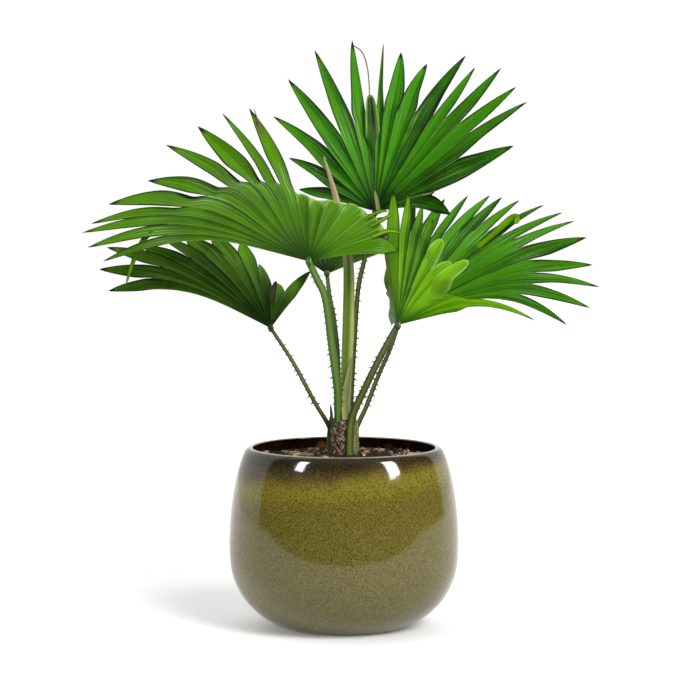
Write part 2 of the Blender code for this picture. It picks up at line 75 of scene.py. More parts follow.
# %% Sockets with arithmetic
class Amount:
    """A number that changes over a surface. Operators on it add Math nodes."""

    def __init__(self, paint, socket):
        self.paint = paint
        self.socket = socket

    def math(self, operation, *values):
        return self.paint.node("Math", {"operation": operation}, dict(enumerate(values)))

    def __neg__(self):
        return self.math("MULTIPLY", self, -1.0)

    def __abs__(self):
        return self.math("ABSOLUTE", self)

    def least(self, other):
        return self.math("MINIMUM", self, other)

    def most(self, other):
        return self.math("MAXIMUM", self, other)

    def fraction(self):
        return self.math("FRACT", self)

    def step(self, low, high):
        """0 below low, 1 above high and a smooth rise between them."""
        return self.paint.node("MapRange", {"interpolation_type": "SMOOTHSTEP"},
                               {"Value": self, "From Min": low, "From Max": high})

    def bell(self, middle, width):
        """1 at middle, falling smoothly to 0 at width on either side."""
        return abs(self - middle).step(width, 0.0)


def add_operator(name, operation):
    """Gives Amount one of Python's operators, and the reflected form that 1 - mask needs."""
    setattr(Amount, "__%s__" % name, lambda one, other: one.math(operation, one, other))
    setattr(Amount, "__r%s__" % name, lambda one, other: one.math(operation, other, one))


OPERATORS = {"add": "ADD", "sub": "SUBTRACT", "mul": "MULTIPLY", "truediv": "DIVIDE",
             "pow": "POWER"}
for name, operation in OPERATORS.items():
    add_operator(name, operation)
print("operators on sockets:", *OPERATORS)

# %% Paints made of nodes
class Paint:
    """A node tree, with one method for every node that isn't arithmetic."""

    def __init__(self, tree):
        self.tree = tree

    def node(self, kind, settings=None, sockets=None, output=0):
        made = self.tree.nodes.new("ShaderNode" + kind)
        for name, setting in (settings or {}).items():
            if name == "stops":
                self.set_stops(made.color_ramp, setting)
            else:
                setattr(made, name, setting)
        for key, value in (sockets or {}).items():
            if isinstance(value, Amount):
                self.tree.links.new(value.socket, made.inputs[key])
            else:
                made.inputs[key].default_value = value
        return Amount(self, made.outputs[output])

    @staticmethod
    def set_stops(ramp, stops):
        while len(ramp.elements) < len(stops):
            ramp.elements.new(0.5)
        for element, (place, colour) in zip(ramp.elements, stops):
            element.position = place
            element.color = (*colour, 1.0)

    def parts(self, vector):
        return [self.node("SeparateXYZ", {}, {0: vector}, k) for k in range(3)]

    def place(self):
        return self.node("TexCoord", {}, {}, "Object")

    def map(self, u_scale=1.0, v_scale=1.0):
        """The piece's own map, as a vector, stretched by two numbers."""
        return self.node("Mapping", {}, {"Vector": self.node("TexCoord", {}, {}, "UV"),
                                         "Scale": (u_scale, v_scale, 1.0)})

    def attribute(self, name):
        return self.node("Attribute", {"attribute_name": name}, {}, "Fac")

    def noise(self, vector, scale, detail=2.0, rough=0.5):
        return self.node("TexNoise", {}, {"Vector": vector, "Scale": scale, "Detail": detail,
                                          "Roughness": rough})

    def mix(self, share, one, other):
        one, other = [c if isinstance(c, Amount) else (*c, 1.0) for c in (one, other)]
        return self.node("Mix", {"data_type": "RGBA"}, {0: share, 6: one, 7: other}, 2)

    def bump(self, height, strength, distance):
        return self.node("Bump", {}, {"Height": height, "Strength": strength,
                                      "Distance": distance})


print("paint class ready")

# %% Materials
def new_paint(name, **constants):
    """A material, its paint and its Principled shader, with the constant sockets set."""
    material = bpy.data.materials.new(name)
    material.use_nodes = True
    shader = material.node_tree.nodes["Principled BSDF"]
    for socket, value in constants.items():
        shader.inputs[socket.replace("_", " ")].default_value = value
    return material, Paint(material.node_tree), shader


def feed(paint, shader, **links):
    for socket, amount in links.items():
        paint.tree.links.new(amount.socket, shader.inputs[socket.replace("_", " ")])


def speckled_paint(name, roughness, scale, one, other, edges=None, detail=1.0):
    """Two colours in soft specks, with harder edges where they are given."""
    material, paint, shader = new_paint(name, Roughness=roughness)
    speck = paint.noise(paint.place(), scale, detail)
    feed(paint, shader, Base_Color=paint.mix(speck.step(*edges) if edges else speck, one, other))
    return material


print("material helpers ready")

# %% [markdown]
# ## Studio light
# The photograph is lit as in a white cove: the plant stands on white with white behind it, and the
# room in front is dark but for two soft boxes, which show as two bright windows on the pot's
# shoulder. The dark front is what keeps the glaze deep in colour, and the white behind gives the
# pale bands at the pot's sides. The world's colour is worked out from the direction, area lights
# make the windows, and a broad sun from the right casts the soft shadow to the left.

# %% World, floor and lights
FLOOR_FRONT = -0.50
FLOOR_BACK = 6.0
FLOOR_SIDE = 4.0
WINDOWS = {"left": ((-0.64, -0.48, 0.59), 20.0, (0.30, 0.66)),
           "right": ((0.70, -0.44, 0.55), 34.0, (0.42, 0.84))}
WINDOW_DISTANCE = 2.0
WINDOW_AIM = Vector((0.0, 0.0, 0.15))
# Direction, strength and angle of each sun.
SUNS = {"key_sun": ((0.50, -0.62, 0.60), 2.9, 28.0),
        "fill_sun": ((-0.75, -0.45, 0.50), 0.35, 40.0),
        "top_sun": ((-0.05, -0.10, 1.0), 0.5, 70.0)}
# How far round the white behind begins at the left, and how much later at the right.
COVE_EDGE = 0.09
COVE_EDGE_RIGHT = 0.42
GLOW_ABOVE = 0.35
GLOW_IN_FRONT = 0.07
FLOOR_GLOW = 0.16


def light_world():
    world = bpy.data.worlds.new("white_cove")
    world.use_nodes = True
    bpy.context.scene.world = world
    paint = Paint(world.node_tree)
    x, y, z = paint.parts(paint.node("TexCoord", {}, {}, "Generated"))
    edge = COVE_EDGE + x.step(-0.1, 0.1) * COVE_EDGE_RIGHT
    behind = (y - edge).step(-0.02, 0.03)
    above = z.step(0.55, 0.9)
    seen = paint.node("LightPath", {}, {}, "Is Camera Ray")
    glow = (behind + above * GLOW_ABOVE + GLOW_IN_FRONT).least(1.0)
    light = glow + seen * (1.0 - glow)
    background = world.node_tree.nodes["Background"]
    paint.tree.links.new(light.socket, background.inputs["Color"])
    background.inputs["Strength"].default_value = 1.0


def lay_floor():
    bpy.ops.mesh.primitive_plane_add(size=1.0)
    floor = bpy.context.object
    floor.name = "floor"
    floor.scale = (2.0 * FLOOR_SIDE, FLOOR_BACK - FLOOR_FRONT, 1.0)
    floor.location = (0.0, (FLOOR_BACK + FLOOR_FRONT) / 2.0, -0.0002)
    material, paint, shader = new_paint("pale_floor", Base_Color=(0.95, 0.95, 0.95, 1.0),
                                        Roughness=0.6, Specular_IOR_Level=0.2,
                                        Emission_Color=(1.0, 1.0, 1.0, 1.0),
                                        Emission_Strength=FLOOR_GLOW)
    floor.data.materials.append(material)


def turn_towards(direction):
    return direction.to_track_quat("Z", "Y").to_euler()


def hang_window(name, direction, power, size):
    """An area light that only reflections see: it draws a window on the glaze."""
    direction = Vector(direction).normalized()
    bpy.ops.object.light_add(type="AREA", location=direction * WINDOW_DISTANCE + WINDOW_AIM,
                             rotation=turn_towards(direction))
    light = bpy.context.object
    light.name = "window_" + name
    light.data.shape = "RECTANGLE"
    light.data.size, light.data.size_y = size
    light.data.energy = power
    light.visible_diffuse = False


def add_sun(name, direction, strength, angle):
    bpy.ops.object.light_add(type="SUN", rotation=turn_towards(Vector(direction)))
    light = bpy.context.object
    light.name = name
    light.data.energy = strength
    light.data.angle = math.radians(angle)
    light.visible_glossy = False


bpy.context.scene.view_settings.view_transform = "Standard"
light_world()
lay_floor()
for side, (direction, power, size) in WINDOWS.items():
    hang_window(side, direction, power, size)
for name, (direction, strength, angle) in SUNS.items():
    add_sun(name, direction, strength, angle)

# %% [markdown]
# ## Helpers for making pieces
# Each piece starts as one of Blender's primitives. A leaf, a petiole and a sheath are all a grid
# of squares drawn out along a line, so one helper adds a grid primitive and sets its corners, and
# another settles a finished piece: its place goes into its mesh, it gets its paint, and it rides
# on the plant's one body.

# %% Choosing, joining and settling pieces
def deselect():
    if bpy.context.object and bpy.context.object.mode != "OBJECT":
        bpy.ops.object.mode_set(mode="OBJECT")
    bpy.ops.object.select_all(action="DESELECT")


def choose(*pieces):
    deselect()
    for piece in pieces:
        piece.select_set(True)
    bpy.context.view_layer.objects.active = pieces[0]


def join(pieces):
    choose(*pieces)
    bpy.ops.object.join()
    return bpy.context.object


def clean(piece, distance=1e-6):
    """Merges doubled corners and turns the faces outwards."""
    choose(piece)
    bpy.ops.object.mode_set(mode="EDIT")
    bpy.ops.mesh.select_all(action="SELECT")
    bpy.ops.mesh.remove_doubles(threshold=distance)
    bpy.ops.mesh.normals_make_consistent(inside=False)
    bpy.ops.object.mode_set(mode="OBJECT")
    return piece


def apply_modifier(piece, kind, **settings):
    choose(piece)
    change = piece.modifiers.new(kind.lower(), kind)
    for name, value in settings.items():
        setattr(change, name, value)
    bpy.ops.object.modifier_apply(modifier=change.name)
    return piece


def settle(piece, name, paint, node=None, smooth=40.0):
    choose(piece)
    bpy.ops.object.transform_apply(location=True, rotation=True, scale=True)
    bpy.ops.object.shade_smooth_by_angle(angle=math.radians(smooth))
    piece.name = piece.data.name = name
    piece.data.materials.clear()
    piece.data.materials.append(paint)
    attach(piece, "root")
    if node:
        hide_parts(node)
    print(name, len(piece.data.polygons), "faces")


print("choosing and settling ready")

# %% Grids, copies and rods
def shaped_grid(name, points, across, along, extra=None):
    """A grid primitive with its corners at points[row][column], mapped by across and along."""
    rows, columns = points.shape[:2]
    deselect()
    bpy.ops.mesh.primitive_grid_add(x_subdivisions=columns - 1, y_subdivisions=rows - 1, size=1.0)
    sheet = bpy.context.object
    sheet.name = name
    mesh = sheet.data
    start = np.empty(len(mesh.vertices) * 3, np.float32)
    mesh.vertices.foreach_get("co", start)
    start = start.reshape(-1, 3)
    column = np.rint((start[:, 0] + 0.5) * (columns - 1)).astype(int)
    row = np.rint((start[:, 1] + 0.5) * (rows - 1)).astype(int)
    mesh.vertices.foreach_set("co", (points[row, column] * MM).astype(np.float32).reshape(-1))
    corner = np.empty(len(mesh.loops), np.int32)
    mesh.loops.foreach_get("vertex_index", corner)
    places = np.stack([across[row, column], along[row, column]], axis=1)[corner]
    mesh.uv_layers.active.data.foreach_set("uv", places.astype(np.float32).reshape(-1))
    for title, values in (extra or {}).items():
        layer = mesh.attributes.new(title, "FLOAT", "POINT")
        layer.data.foreach_set("value", values[row, column].astype(np.float32))
    mesh.update()
    return sheet


def placed_copy(model, *steps):
    """A copy of a model with a mesh of its own, moved by matrices in millimetres."""
    copy = model.copy()
    copy.data = model.data.copy()
    bpy.context.collection.objects.link(copy)
    move = Matrix.Scale(MM, 4)
    for step in steps:
        move = move @ step
    copy.data.transform(move)
    return copy


def smooth_step(t):
    t = np.clip(t, 0.0, 1.0)
    return t * t * (3.0 - 2.0 * t)


def smooth_route(points, steps):
    """Points along a smooth curve through the given ones, steps to each span."""
    points = np.array(points, float)
    ends = np.vstack([2 * points[0] - points[1], points, 2 * points[-1] - points[-2]])
    route = []
    for a, b, c, d in zip(ends, ends[1:], ends[2:], ends[3:]):
        for t in np.arange(steps) / steps:
            route.append(0.5 * (2 * b + (c - a) * t + (2 * a - 5 * b + 4 * c - d) * t ** 2
                                + (3 * b - a - 3 * c + d) * t ** 3))
    return np.array(route + [points[-1]])


def unit(vector):
    return vector / np.linalg.norm(vector, axis=-1, keepdims=True)


def swept(name, route, up, section, around):
    """A closed rod along a route. section(angle, share) gives its width and height there."""
    along = unit(np.gradient(route, axis=0))
    side = unit(np.cross(along, up))
    rise = np.cross(side, along)
    share = np.linspace(0.0, 1.0, len(route))[:, None]
    angle = np.linspace(0.0, 2.0 * math.pi, around + 1)[None, :]
    wide, high = section(angle, share)
    points = route[:, None] + side[:, None] * wide[..., None] + rise[:, None] * high[..., None]
    points = np.insert(points, 0, route[0], axis=0)
    points = np.insert(points, len(points), route[-1], axis=0)
    rows = len(points)
    length = np.linspace(0.0, 1.0, rows)[:, None] * np.ones((1, around + 1))
    turn = angle / (2.0 * math.pi) * np.ones((rows, 1))
    return clean(shaped_grid(name, points, turn, length), 1e-5)


print("grids, copies and rods ready")

# %% [markdown]
# ## The pot
# The pot is thrown on a wheel: one clay wall, thin at the rim, that swells to its belly and draws
# in to a flat foot. It could be a lathe modifier on a profile, but making it as a thrower does is
# as quick: start from a disc for the foot, then extrude and widen ring after ring up the outside,
# over the rim and down the inside to the floor. The rings follow a smooth curve through the
# heights that the plain part has.

# %% Throw the pot
POT_OUTLINE = [(67.0, 1.2), (76.0, 5.0), (90.0, 14.0), (104.0, 28.0), (114.0, 46.0),
               (119.2, 65.0), (120.4, 92.0), (118.6, 122.0), (113.8, 153.0), (109.4, 170.0),
               (105.8, 180.0), (102.8, 185.5), (99.2, 188.0), (97.0, 188.2), (95.4, 187.0)]
POT_INSIDE = [(98.1, 184.0), (101.7, 176.0), (107.7, 155.0), (112.6, 125.0), (114.8, 90.0),
              (112.4, 60.0), (104.1, 38.0), (95.6, 24.0), (83.6, 10.0)]
POT_FOOT = 65.0
POT_SIDES = 128
RINGS_TO_A_SPAN = 4


def extrude_ring(radius, height, before):
    """Pulls the chosen ring up or down and widens or narrows it to a radius."""
    bpy.ops.mesh.extrude_region_move(
        TRANSFORM_OT_translate={"value": (0.0, 0.0, (height - before[1]) * MM)})
    bpy.ops.transform.resize(value=(radius / before[0], radius / before[0], 1.0),
                             center_override=(0.0, 0.0, height * MM))


def throw_pot():
    deselect()
    bpy.ops.mesh.primitive_circle_add(vertices=POT_SIDES, radius=POT_FOOT * MM,
                                      fill_type="NGON")
    pot = bpy.context.object
    bpy.ops.object.mode_set(mode="EDIT")
    bpy.ops.mesh.select_all(action="SELECT")
    outline = smooth_route(POT_OUTLINE + POT_INSIDE, RINGS_TO_A_SPAN)
    before = (POT_FOOT, 0.0)
    for radius, height in outline:
        extrude_ring(radius, height, before)
        before = (radius, height)
    bpy.ops.object.mode_set(mode="OBJECT")
    return clean(pot)


pot = throw_pot()
print("thrown pot,", len(pot.data.polygons), "faces")

# %% [markdown]
# The glaze is a reactive one: iron-brown where it ran thin at the rim, breaking through a mottled
# edge into a yellow olive, and then an olive brown with a fine net of darker and lighter flecks.
# All of it follows the height on the pot, so the colour is a ramp over the height, with noise
# added to the height before the ramp so that the bands break up as melted glaze does. The inside
# is dark brown, and a pale line along the lip's edge is a painted highlight. The surface stays
# glassy,
# with a very slight ripple.

# %% Glaze
# Places in the ramp are heights in mm over 200.
GLAZE_BANDS = [(0.0, (0.092, 0.078, 0.016)), (0.50, (0.135, 0.110, 0.018)),
               (0.70, (0.140, 0.112, 0.013)), (0.77, (0.215, 0.182, 0.013)),
               (0.815, (0.225, 0.185, 0.016)), (0.85, (0.070, 0.044, 0.011)),
               (0.885, (0.020, 0.011, 0.007)), (1.0, (0.012, 0.007, 0.005))]
BAND_TILT = 0.09
BAND_WAVES = 20.0
BAND_GRAIN = 34.0
FLECK_DARK = (0.045, 0.034, 0.006)
FLECK_LIGHT = (0.300, 0.265, 0.070)
INSIDE_BROWN = (0.020, 0.010, 0.005)
INSIDE_RUST = (0.20, 0.085, 0.012)
LIP_HIGHLIGHT = (0.42, 0.38, 0.30)
LIP_HEIGHT = 188.2


def glaze_paint():
    material, paint, shader = new_paint("glaze", Roughness=0.09, IOR=1.5)
    place = paint.place()
    x, y, z = paint.parts(place)
    radius = (x * x + y * y) ** 0.5
    broad = paint.noise(place, 26.0, 3.0)
    grain = paint.noise(place, 780.0, 1.0, 0.6)
    fleck = paint.noise(place, 520.0, 2.0, 0.6)
    height = z / MM - x / MM * BAND_TILT + (broad - 0.5) * BAND_WAVES \
        + (grain - 0.5) * BAND_GRAIN
    bands = paint.node("ValToRGB", {"stops": GLAZE_BANDS}, {"Fac": height / 200.0})
    dark = paint.mix(fleck.step(0.47, 0.57) * 0.62, bands, FLECK_DARK)
    light = paint.mix(grain.step(0.53, 0.63) * 0.40 * (z / MM).step(182.0, 168.0), dark,
                      FLECK_LIGHT)
    facing = paint.parts(paint.node("NewGeometry", {}, {}, "Normal"))
    towards = (facing[0] * x + facing[1] * y) / (radius + 1e-4)
    inside = towards.step(-0.05, -0.2)
    brown = paint.mix(paint.noise(place, 60.0, 3.0).step(0.55, 0.75), INSIDE_BROWN, INSIDE_RUST)
    colour = paint.mix(inside, light, brown)
    # Painted highlight: a pale line along the lip's edge.
    lip_highlight = (z / MM).bell(LIP_HEIGHT, 1.0)
    colour = paint.mix(lip_highlight * 0.75, colour, LIP_HIGHLIGHT)
    ripple = paint.bump(broad + grain * 0.05, 0.25, 0.0006)
    feed(paint, shader, Base_Color=colour, Normal=ripple)
    return material


settle(pot, "glazed_pot", glaze_paint(), "pot", smooth=60.0)

# %% [markdown]
# ## The soil
# Potting soil is a crumbly dark mix with bark chips and white grains of perlite on top. The soil
# itself is made as the pot was, ring by ring, up the wall and then inwards, and its top is then
# roughened with noise, which a displace modifier could also do, but not for the top alone.

# %% Soil body
SOIL_EDGE = 176.0
SOIL_MOUND = 7.0
MOUND_WIDTH = 34.0
SOIL_WALL = [(83.0, 10.3), (95.3, 24.0), (103.8, 38.0), (112.1, 60.0), (114.5, 90.0),
             (112.3, 125.0), (107.4, 155.0), (101.3, 176.0)]
SOIL_SIDES = 160
SOIL_RINGS = 44
CRUMB_SCALE = 420.0
CRUMB_HEIGHT = 1.6


def soil_top(radius):
    """The soil's height: nearly flat at the wall and mounded round the stem."""
    return SOIL_EDGE + SOIL_MOUND * math.exp(-(radius / MOUND_WIDTH) ** 2)


def fill_soil():
    deselect()
    bpy.ops.mesh.primitive_circle_add(vertices=SOIL_SIDES, radius=SOIL_WALL[0][0] * MM,
                                      fill_type="NGON", location=(0, 0, SOIL_WALL[0][1] * MM))
    soil = bpy.context.object
    bpy.ops.object.transform_apply(location=True)
    bpy.ops.object.mode_set(mode="EDIT")
    bpy.ops.mesh.select_all(action="SELECT")
    before = SOIL_WALL[0]
    for ring in SOIL_WALL[1:]:
        extrude_ring(*ring, before)
        before = ring
    edge = before[0]
    for k in range(1, SOIL_RINGS + 1):
        radius = edge * (1.0 - k / (SOIL_RINGS + 1))
        ring = (radius, soil_top(radius))
        extrude_ring(*ring, before)
        before = ring
    bpy.ops.object.mode_set(mode="OBJECT")
    for corner in soil.data.vertices:
        radius = math.hypot(corner.co.x, corner.co.y) / MM
        if corner.co.z > (SOIL_EDGE - 0.1) * MM and radius < edge - 0.5:
            crumb = noise.fractal(corner.co * CRUMB_SCALE, 0.6, 2.0, 4)
            corner.co.z += CRUMB_HEIGHT * MM * crumb
    return clean(soil)


def soil_paint():
    material, paint, shader = new_paint("potting_soil", Roughness=0.95, Specular_IOR_Level=0.2)
    place = paint.place()
    crumbs = paint.noise(place, 700.0, 4.0, 0.7)
    patches = paint.noise(place, 130.0, 2.0)
    colour = paint.mix(crumbs.step(0.40, 0.66), (0.010, 0.007, 0.005), (0.060, 0.040, 0.026))
    colour = paint.mix(patches.step(0.58, 0.72) * 0.5, colour, (0.130, 0.085, 0.050))
    feed(paint, shader, Base_Color=colour, Normal=paint.bump(crumbs, 0.9, 0.0012))
    return material


settle(fill_soil(), "soil_body", soil_paint(), "soil")

# %% [markdown]
# The loose bits on top are what makes it look like soil. A particle system could scatter them, but
# it has to be turned into meshes afterwards, so each is modelled once, a beveled chip and a rough
# grain, and copied in a loop, each copy turned, leant and sized differently.

# %% Bark chips and perlite
SEED = 12
LEAN_SPREAD = 0.35
# A loose bit's name, how many there are, sizes, width and thickness as shares of the size, how far
# from the middle they lie and how high they sit as a share of the size.
CHIPS = ("bark_chips", 80, (6.0, 13.0), (0.5, 0.3), (15.0, 92.0), 0.12)
PERLITE = ("perlite_grains", 26, (1.4, 2.8), (0.9, 0.8), (12.0, 96.0), 0.25)
CRUMBS = ("soil_crumbs", 260, (1.5, 4.5), (0.8, 0.7), (12.0, 98.0), 0.15)


def one_chip():
    deselect()
    bpy.ops.mesh.primitive_cube_add(size=1.0)
    chip = bpy.context.object
    bpy.ops.object.mode_set(mode="EDIT")
    bpy.ops.mesh.subdivide(number_cuts=2)
    bpy.ops.mesh.bevel(offset=0.06, segments=1)
    bpy.ops.object.mode_set(mode="OBJECT")
    for corner in chip.data.vertices:
        corner.co += 0.16 * noise.noise_vector(corner.co * 2.3)
    return chip


def one_grain():
    deselect()
    bpy.ops.mesh.primitive_ico_sphere_add(subdivisions=2, radius=0.5)
    grain = bpy.context.object
    for corner in grain.data.vertices:
        corner.co += 0.14 * noise.noise_vector(corner.co * 3.1)
    return grain


def scatter(model, measures, paint, chance):
    """Lays copies of one shape on the soil, each turned, leant and sized differently."""
    name, count, sizes, flat, spread, lift = measures
    copies = []
    for _ in range(count):
        angle = chance.uniform(0.0, 2.0 * math.pi)
        radius = spread[0] + (spread[1] - spread[0]) * math.sqrt(chance.random())
        size = chance.uniform(*sizes)
        rest = Vector((radius * math.cos(angle), radius * math.sin(angle),
                       soil_top(radius) + lift * size))
        turn = Matrix.Rotation(chance.uniform(0.0, 2.0 * math.pi), 4, "Z")
        lean = Matrix.Rotation(chance.gauss(0.0, LEAN_SPREAD), 4, "X")
        scale = Matrix.Diagonal((size, size * flat[0], size * flat[1], 1.0))
        copies.append(placed_copy(model, Matrix.Translation(rest), turn, lean, scale))
    bpy.data.objects.remove(model)
    settle(join(copies), name, paint, smooth=25.0)


def bark_paint():
    material, paint, shader = new_paint("bark", Roughness=0.85, Specular_IOR_Level=0.25)
    place = paint.place()
    tone = paint.noise(place, 90.0, 1.0)
    grain = paint.noise(paint.node("Mapping", {}, {"Vector": place, "Scale": (1.0, 0.25, 1.0)}),
                        900.0, 3.0)
    colour = paint.mix(tone.step(0.38, 0.62), (0.090, 0.050, 0.025), (0.48, 0.34, 0.19))
    colour = paint.mix(grain.step(0.5, 0.7) * 0.5, colour, (0.055, 0.028, 0.015))
    feed(paint, shader, Base_Color=colour, Normal=paint.bump(grain, 0.6, 0.0006))
    return material


chance = random.Random(SEED)
# Without this line the noise vectors start from the clock, and the chips change with each run.
noise.seed_set(SEED)
scatter(one_chip(), CHIPS, bark_paint(), chance)
scatter(one_grain(), PERLITE,
        speckled_paint("perlite", 0.8, 800.0, (0.55, 0.50, 0.42), (0.85, 0.82, 0.76), detail=2.0),
        chance)
scatter(one_grain(), CRUMBS, soil_paint(), chance)

# %% [markdown]
# ## The blades
# A fan leaf is one pleated sheet. Each finger is folded up along both edges into a shallow
# V, neighbours share a ridge as far out as they are joined, and beyond that each finger runs on
# alone to a point. Some fingers arch down under their weight, and the youngest are still
# folded over to the back or end in a blunt paddle, with a pale highlight painted along the fold or
# round the paddle. No operator draws this, so each
# finger is a grid primitive whose corners are worked out from a line along its midrib, as a
# botanist would measure it: bearing in the fan, reach, how far it is joined, and how it bends.

# %% The fronds' measures
# Hub, direction of the middle (azimuth, elevation), then for the left and right half how far it
# leans, how deep its pleats are and how far its free ends turn to the front. Taper is how fast a
# free end narrows and how full it is. Tones are per cent brighter or darker, finger by finger:
# partly the leaf's own colour, partly painted light and shade on fingers that catch the light or lie
# in shade.
# Petiole and radius are the stalk's route from the stem and its thickness at both ends.
# A finger is: bearing, reach, joined as far as, turned down by, folded back at (0: not).
# An odd finger, by number: how many times wider it is, how far it lifts off the fan and how
# pointed it is (1: as its neighbours, less: blunter).
FRONDS = {
    "frond_top": {
        "hub": (33, 42, 433), "middle": (88, 70), "lean": (12, 12), "pleat": (0.45, 0.85),
        "turn": (0.0, 0.0), "taper": (0.85, 0.55),
        "tones": (-40, -35, -5, 0, 5, 10, -50, 20, 35, 30, -40, 35, 0, 35, -15, -30, -30),
        "petiole": [(7, 10, 172), (7, 10, 215), (8, 12, 247), (11, 17, 298), (15, 26, 352),
                    (22, 34, 384)],
        "radius": (2.9, 2.2),
        "fingers": [(74, 84, 50, 8, 0), (58, 107, 62, 6, 0), (46, 148, 80, 6, 0),
                    (31, 172, 86, 8, 0), (19, 191, 91, 6, 0), (8, 192, 98, 0, 0),
                    (4, 128, 48, 0, 0), (-2, 190, 106, 4, 0), (-8, 180, 108, 3, 0),
                    (-17, 172, 110, 6, 0), (-29, 194, 114, 3, 0), (-35, 187, 118, 0, 0),
                    (-42, 202, 124, 0, 0), (-49, 198, 128, 2, 0), (-56, 196, 122, 0, 0),
                    (-66, 161, 84, 3, 0), (-82, 82, 40, 34, 0)],
        "odd": {5: (1.5, 0.0, 0.9), 6: (2.3, 7.0, 0.5), 8: (1.3, 0.0, 0.9), 9: (1.15, 0.0, 0.9)},
    },
    "frond_left_upper": {
        "hub": (-36, -72, 386), "middle": (100, 62), "lean": (26, 0), "pleat": (0.28, 0.45),
        "turn": (0.75, 0.0), "taper": (0.90, 1.2),
        "tones": (0, 5, 0, 5, 10, 5, 0, 15, 20, 30, 5, 25, 30, 35, 30, 30),
        "petiole": [(-5, -7, 175), (-5, -7, 205), (-6, -9, 228), (-7, -15, 252),
                    (-13, -31, 299), (-19, -51, 346), (-28, -64, 368)],
        "radius": (5.0, 3.4),
        "fingers": [(87, 240, 165, 33, 0), (84, 254, 168, 32, 0), (80, 258, 163, 33, 0),
                    (76, 247, 150, 36, 0), (70, 228, 134, 35, 0), (59, 190, 116, 32, 0),
                    (48, 188, 104, 22, 0), (37, 178, 93, 14, 0), (26, 178, 86, 12, 0),
                    (15, 180, 80, 13, 0), (2, 116, 70, 120, 78), (-12, 108, 68, 118, 73),
                    (-27, 112, 72, 112, 78), (-43, 112, 78, 104, 86), (-60, 120, 80, 92, 90),
                    (-76, 96, 74, 16, 0)],
    },
    "frond_left_lower": {
        "hub": (-77, 24, 311), "middle": (100, 42), "lean": (32, 0), "pleat": (0.40, 0.50),
        "turn": (0.4, 0.0), "taper": (0.80, 0.60),
        "tones": (15, 20, 10, 0, -5, 10, -15, 0, -20, 20, 10),
        "petiole": [(-10, 0, 168), (-11, 0, 190), (-16, 1, 210), (-31, 5, 235), (-53, 13, 275)],
        "radius": (2.8, 1.9),
        "fingers": [(86, 197, 150, 32, 0), (80, 205, 140, 28, 0), (74, 199, 132, 20, 0),
                    (65, 165, 112, 18, 0), (55, 152, 106, 14, 0), (40, 137, 97, 16, 0),
                    (25, 136, 93, 12, 0), (11, 120, 90, 0, 0), (0, 100, 76, 8, 0),
                    (-13, 74, 48, 14, 0), (-30, 104, 60, 8, 0)],
    },
    "frond_right_far": {
        "hub": (60, 44, 320), "middle": (80, 47), "lean": (0, 14), "pleat": (0.8, 0.85),
        "turn": (0.0, 0.2), "taper": (0.85, 0.60),
        "tones": (-30, 25, -10, 30, -30, 35, -30, 0, 20, -10, 35, 0, 10, 25),
        "petiole": [(11, 2, 168), (11, 2, 200), (24, 8, 231), (36, 16, 261), (49, 29, 289)],
        "radius": (2.8, 2.0),
        "fingers": [(2, 200, 112, 8, 0), (-9, 178, 98, 12, 0), (-16, 186, 104, 14, 0),
                    (-24, 188, 116, 12, 0), (-31, 184, 122, 6, 0), (-38, 188, 126, 5, 0),
                    (-45, 200, 132, 8, 0), (-51, 208, 140, 10, 0), (-57, 211, 144, 9, 0),
                    (-64, 214, 145, 11, 0), (-69, 212, 148, 22, 0), (-73, 216, 146, 31, 0),
                    (-76, 208, 138, 40, 0), (-80, 186, 124, 46, 0)],
    },
    "frond_right_near": {
        "hub": (55, -56, 320), "middle": (95, 64), "lean": (-91, 16), "pleat": (0.5, 0.5),
        "turn": (0.0, 0.0), "taper": (0.80, 0.60),
        "tones": (-30, -20, -10, 0, 10, -5, -25, -35, 20, 25, 40, 0),
        "petiole": [(6, -15, 168), (6, -15, 200), (9, -15, 222), (20, -21, 248),
                    (38, -39, 287)],
        "radius": (4.5, 3.2),
        "fingers": [(60, 74, 50, 20, 0), (44, 92, 62, 14, 0), (28, 112, 76, 8, 0),
                    (13, 132, 92, 4, 0), (-1, 151, 100, 2, 0), (-7, 148, 104, 3, 0),
                    (-13, 136, 100, 5, 0), (-19, 122, 92, 6, 0), (-26, 104, 70, 12, 0),
                    (-36, 88, 62, 20, 0), (-49, 98, 42, 10, 0), (-76, 146, 74, 44, 0)],
        "odd": {8: (1.15, 3.0, 0.55), 9: (1.0, 2.0, 0.6), 10: (1.25, 9.0, 0.5),
                11: (0.45, 0.0, 1.0)},
    },
    "frond_back": {
        "hub": (-18, 45, 367), "middle": (88, 26), "lean": (0, 0), "pleat": (0.8, 0.8),
        "turn": (0.0, 0.0), "taper": (0.85, 0.55),
        "tones": (-20, -10, -20, -10, -20, -10, 0, -10),
        "petiole": [(-6, 9, 172), (-6, 9, 215), (-6, 12, 255), (-7, 18, 290), (-11, 30, 324),
                    (-15, 38, 344)],
        "radius": (2.9, 2.0),
        "fingers": [(38, 136, 90, 10, 0), (26, 152, 98, 8, 0), (14, 164, 104, 6, 0),
                    (2, 168, 108, 6, 0), (-10, 164, 104, 6, 0), (-22, 150, 96, 6, 0),
                    (-35, 124, 80, 6, 0), (-50, 88, 60, 3, 0)],
    },
}
# How far a fan swells where its fingers part, and dips beyond.
DOMES = {"frond_left_upper": (11.0, 5.0)}
print(sum(len(f["fingers"]) for f in FRONDS.values()), "fingers on", len(FRONDS), "fronds")

# %% [markdown]
# One finger is worked out in three steps: where its midrib runs, where the ridges to its
# neighbours run, and then every column of the grid between them. A folded finger bends sooner at
# its edges than along its middle, which is what rounds its end. The big frond at the left bulges
# where its fingers part, and the free ends rise from behind that bulge.

# %% A finger's midrib
DROOP_FROM = 0.2
FOLD_LENGTH = 22.0
FOLD_ROUNDING = 9.0


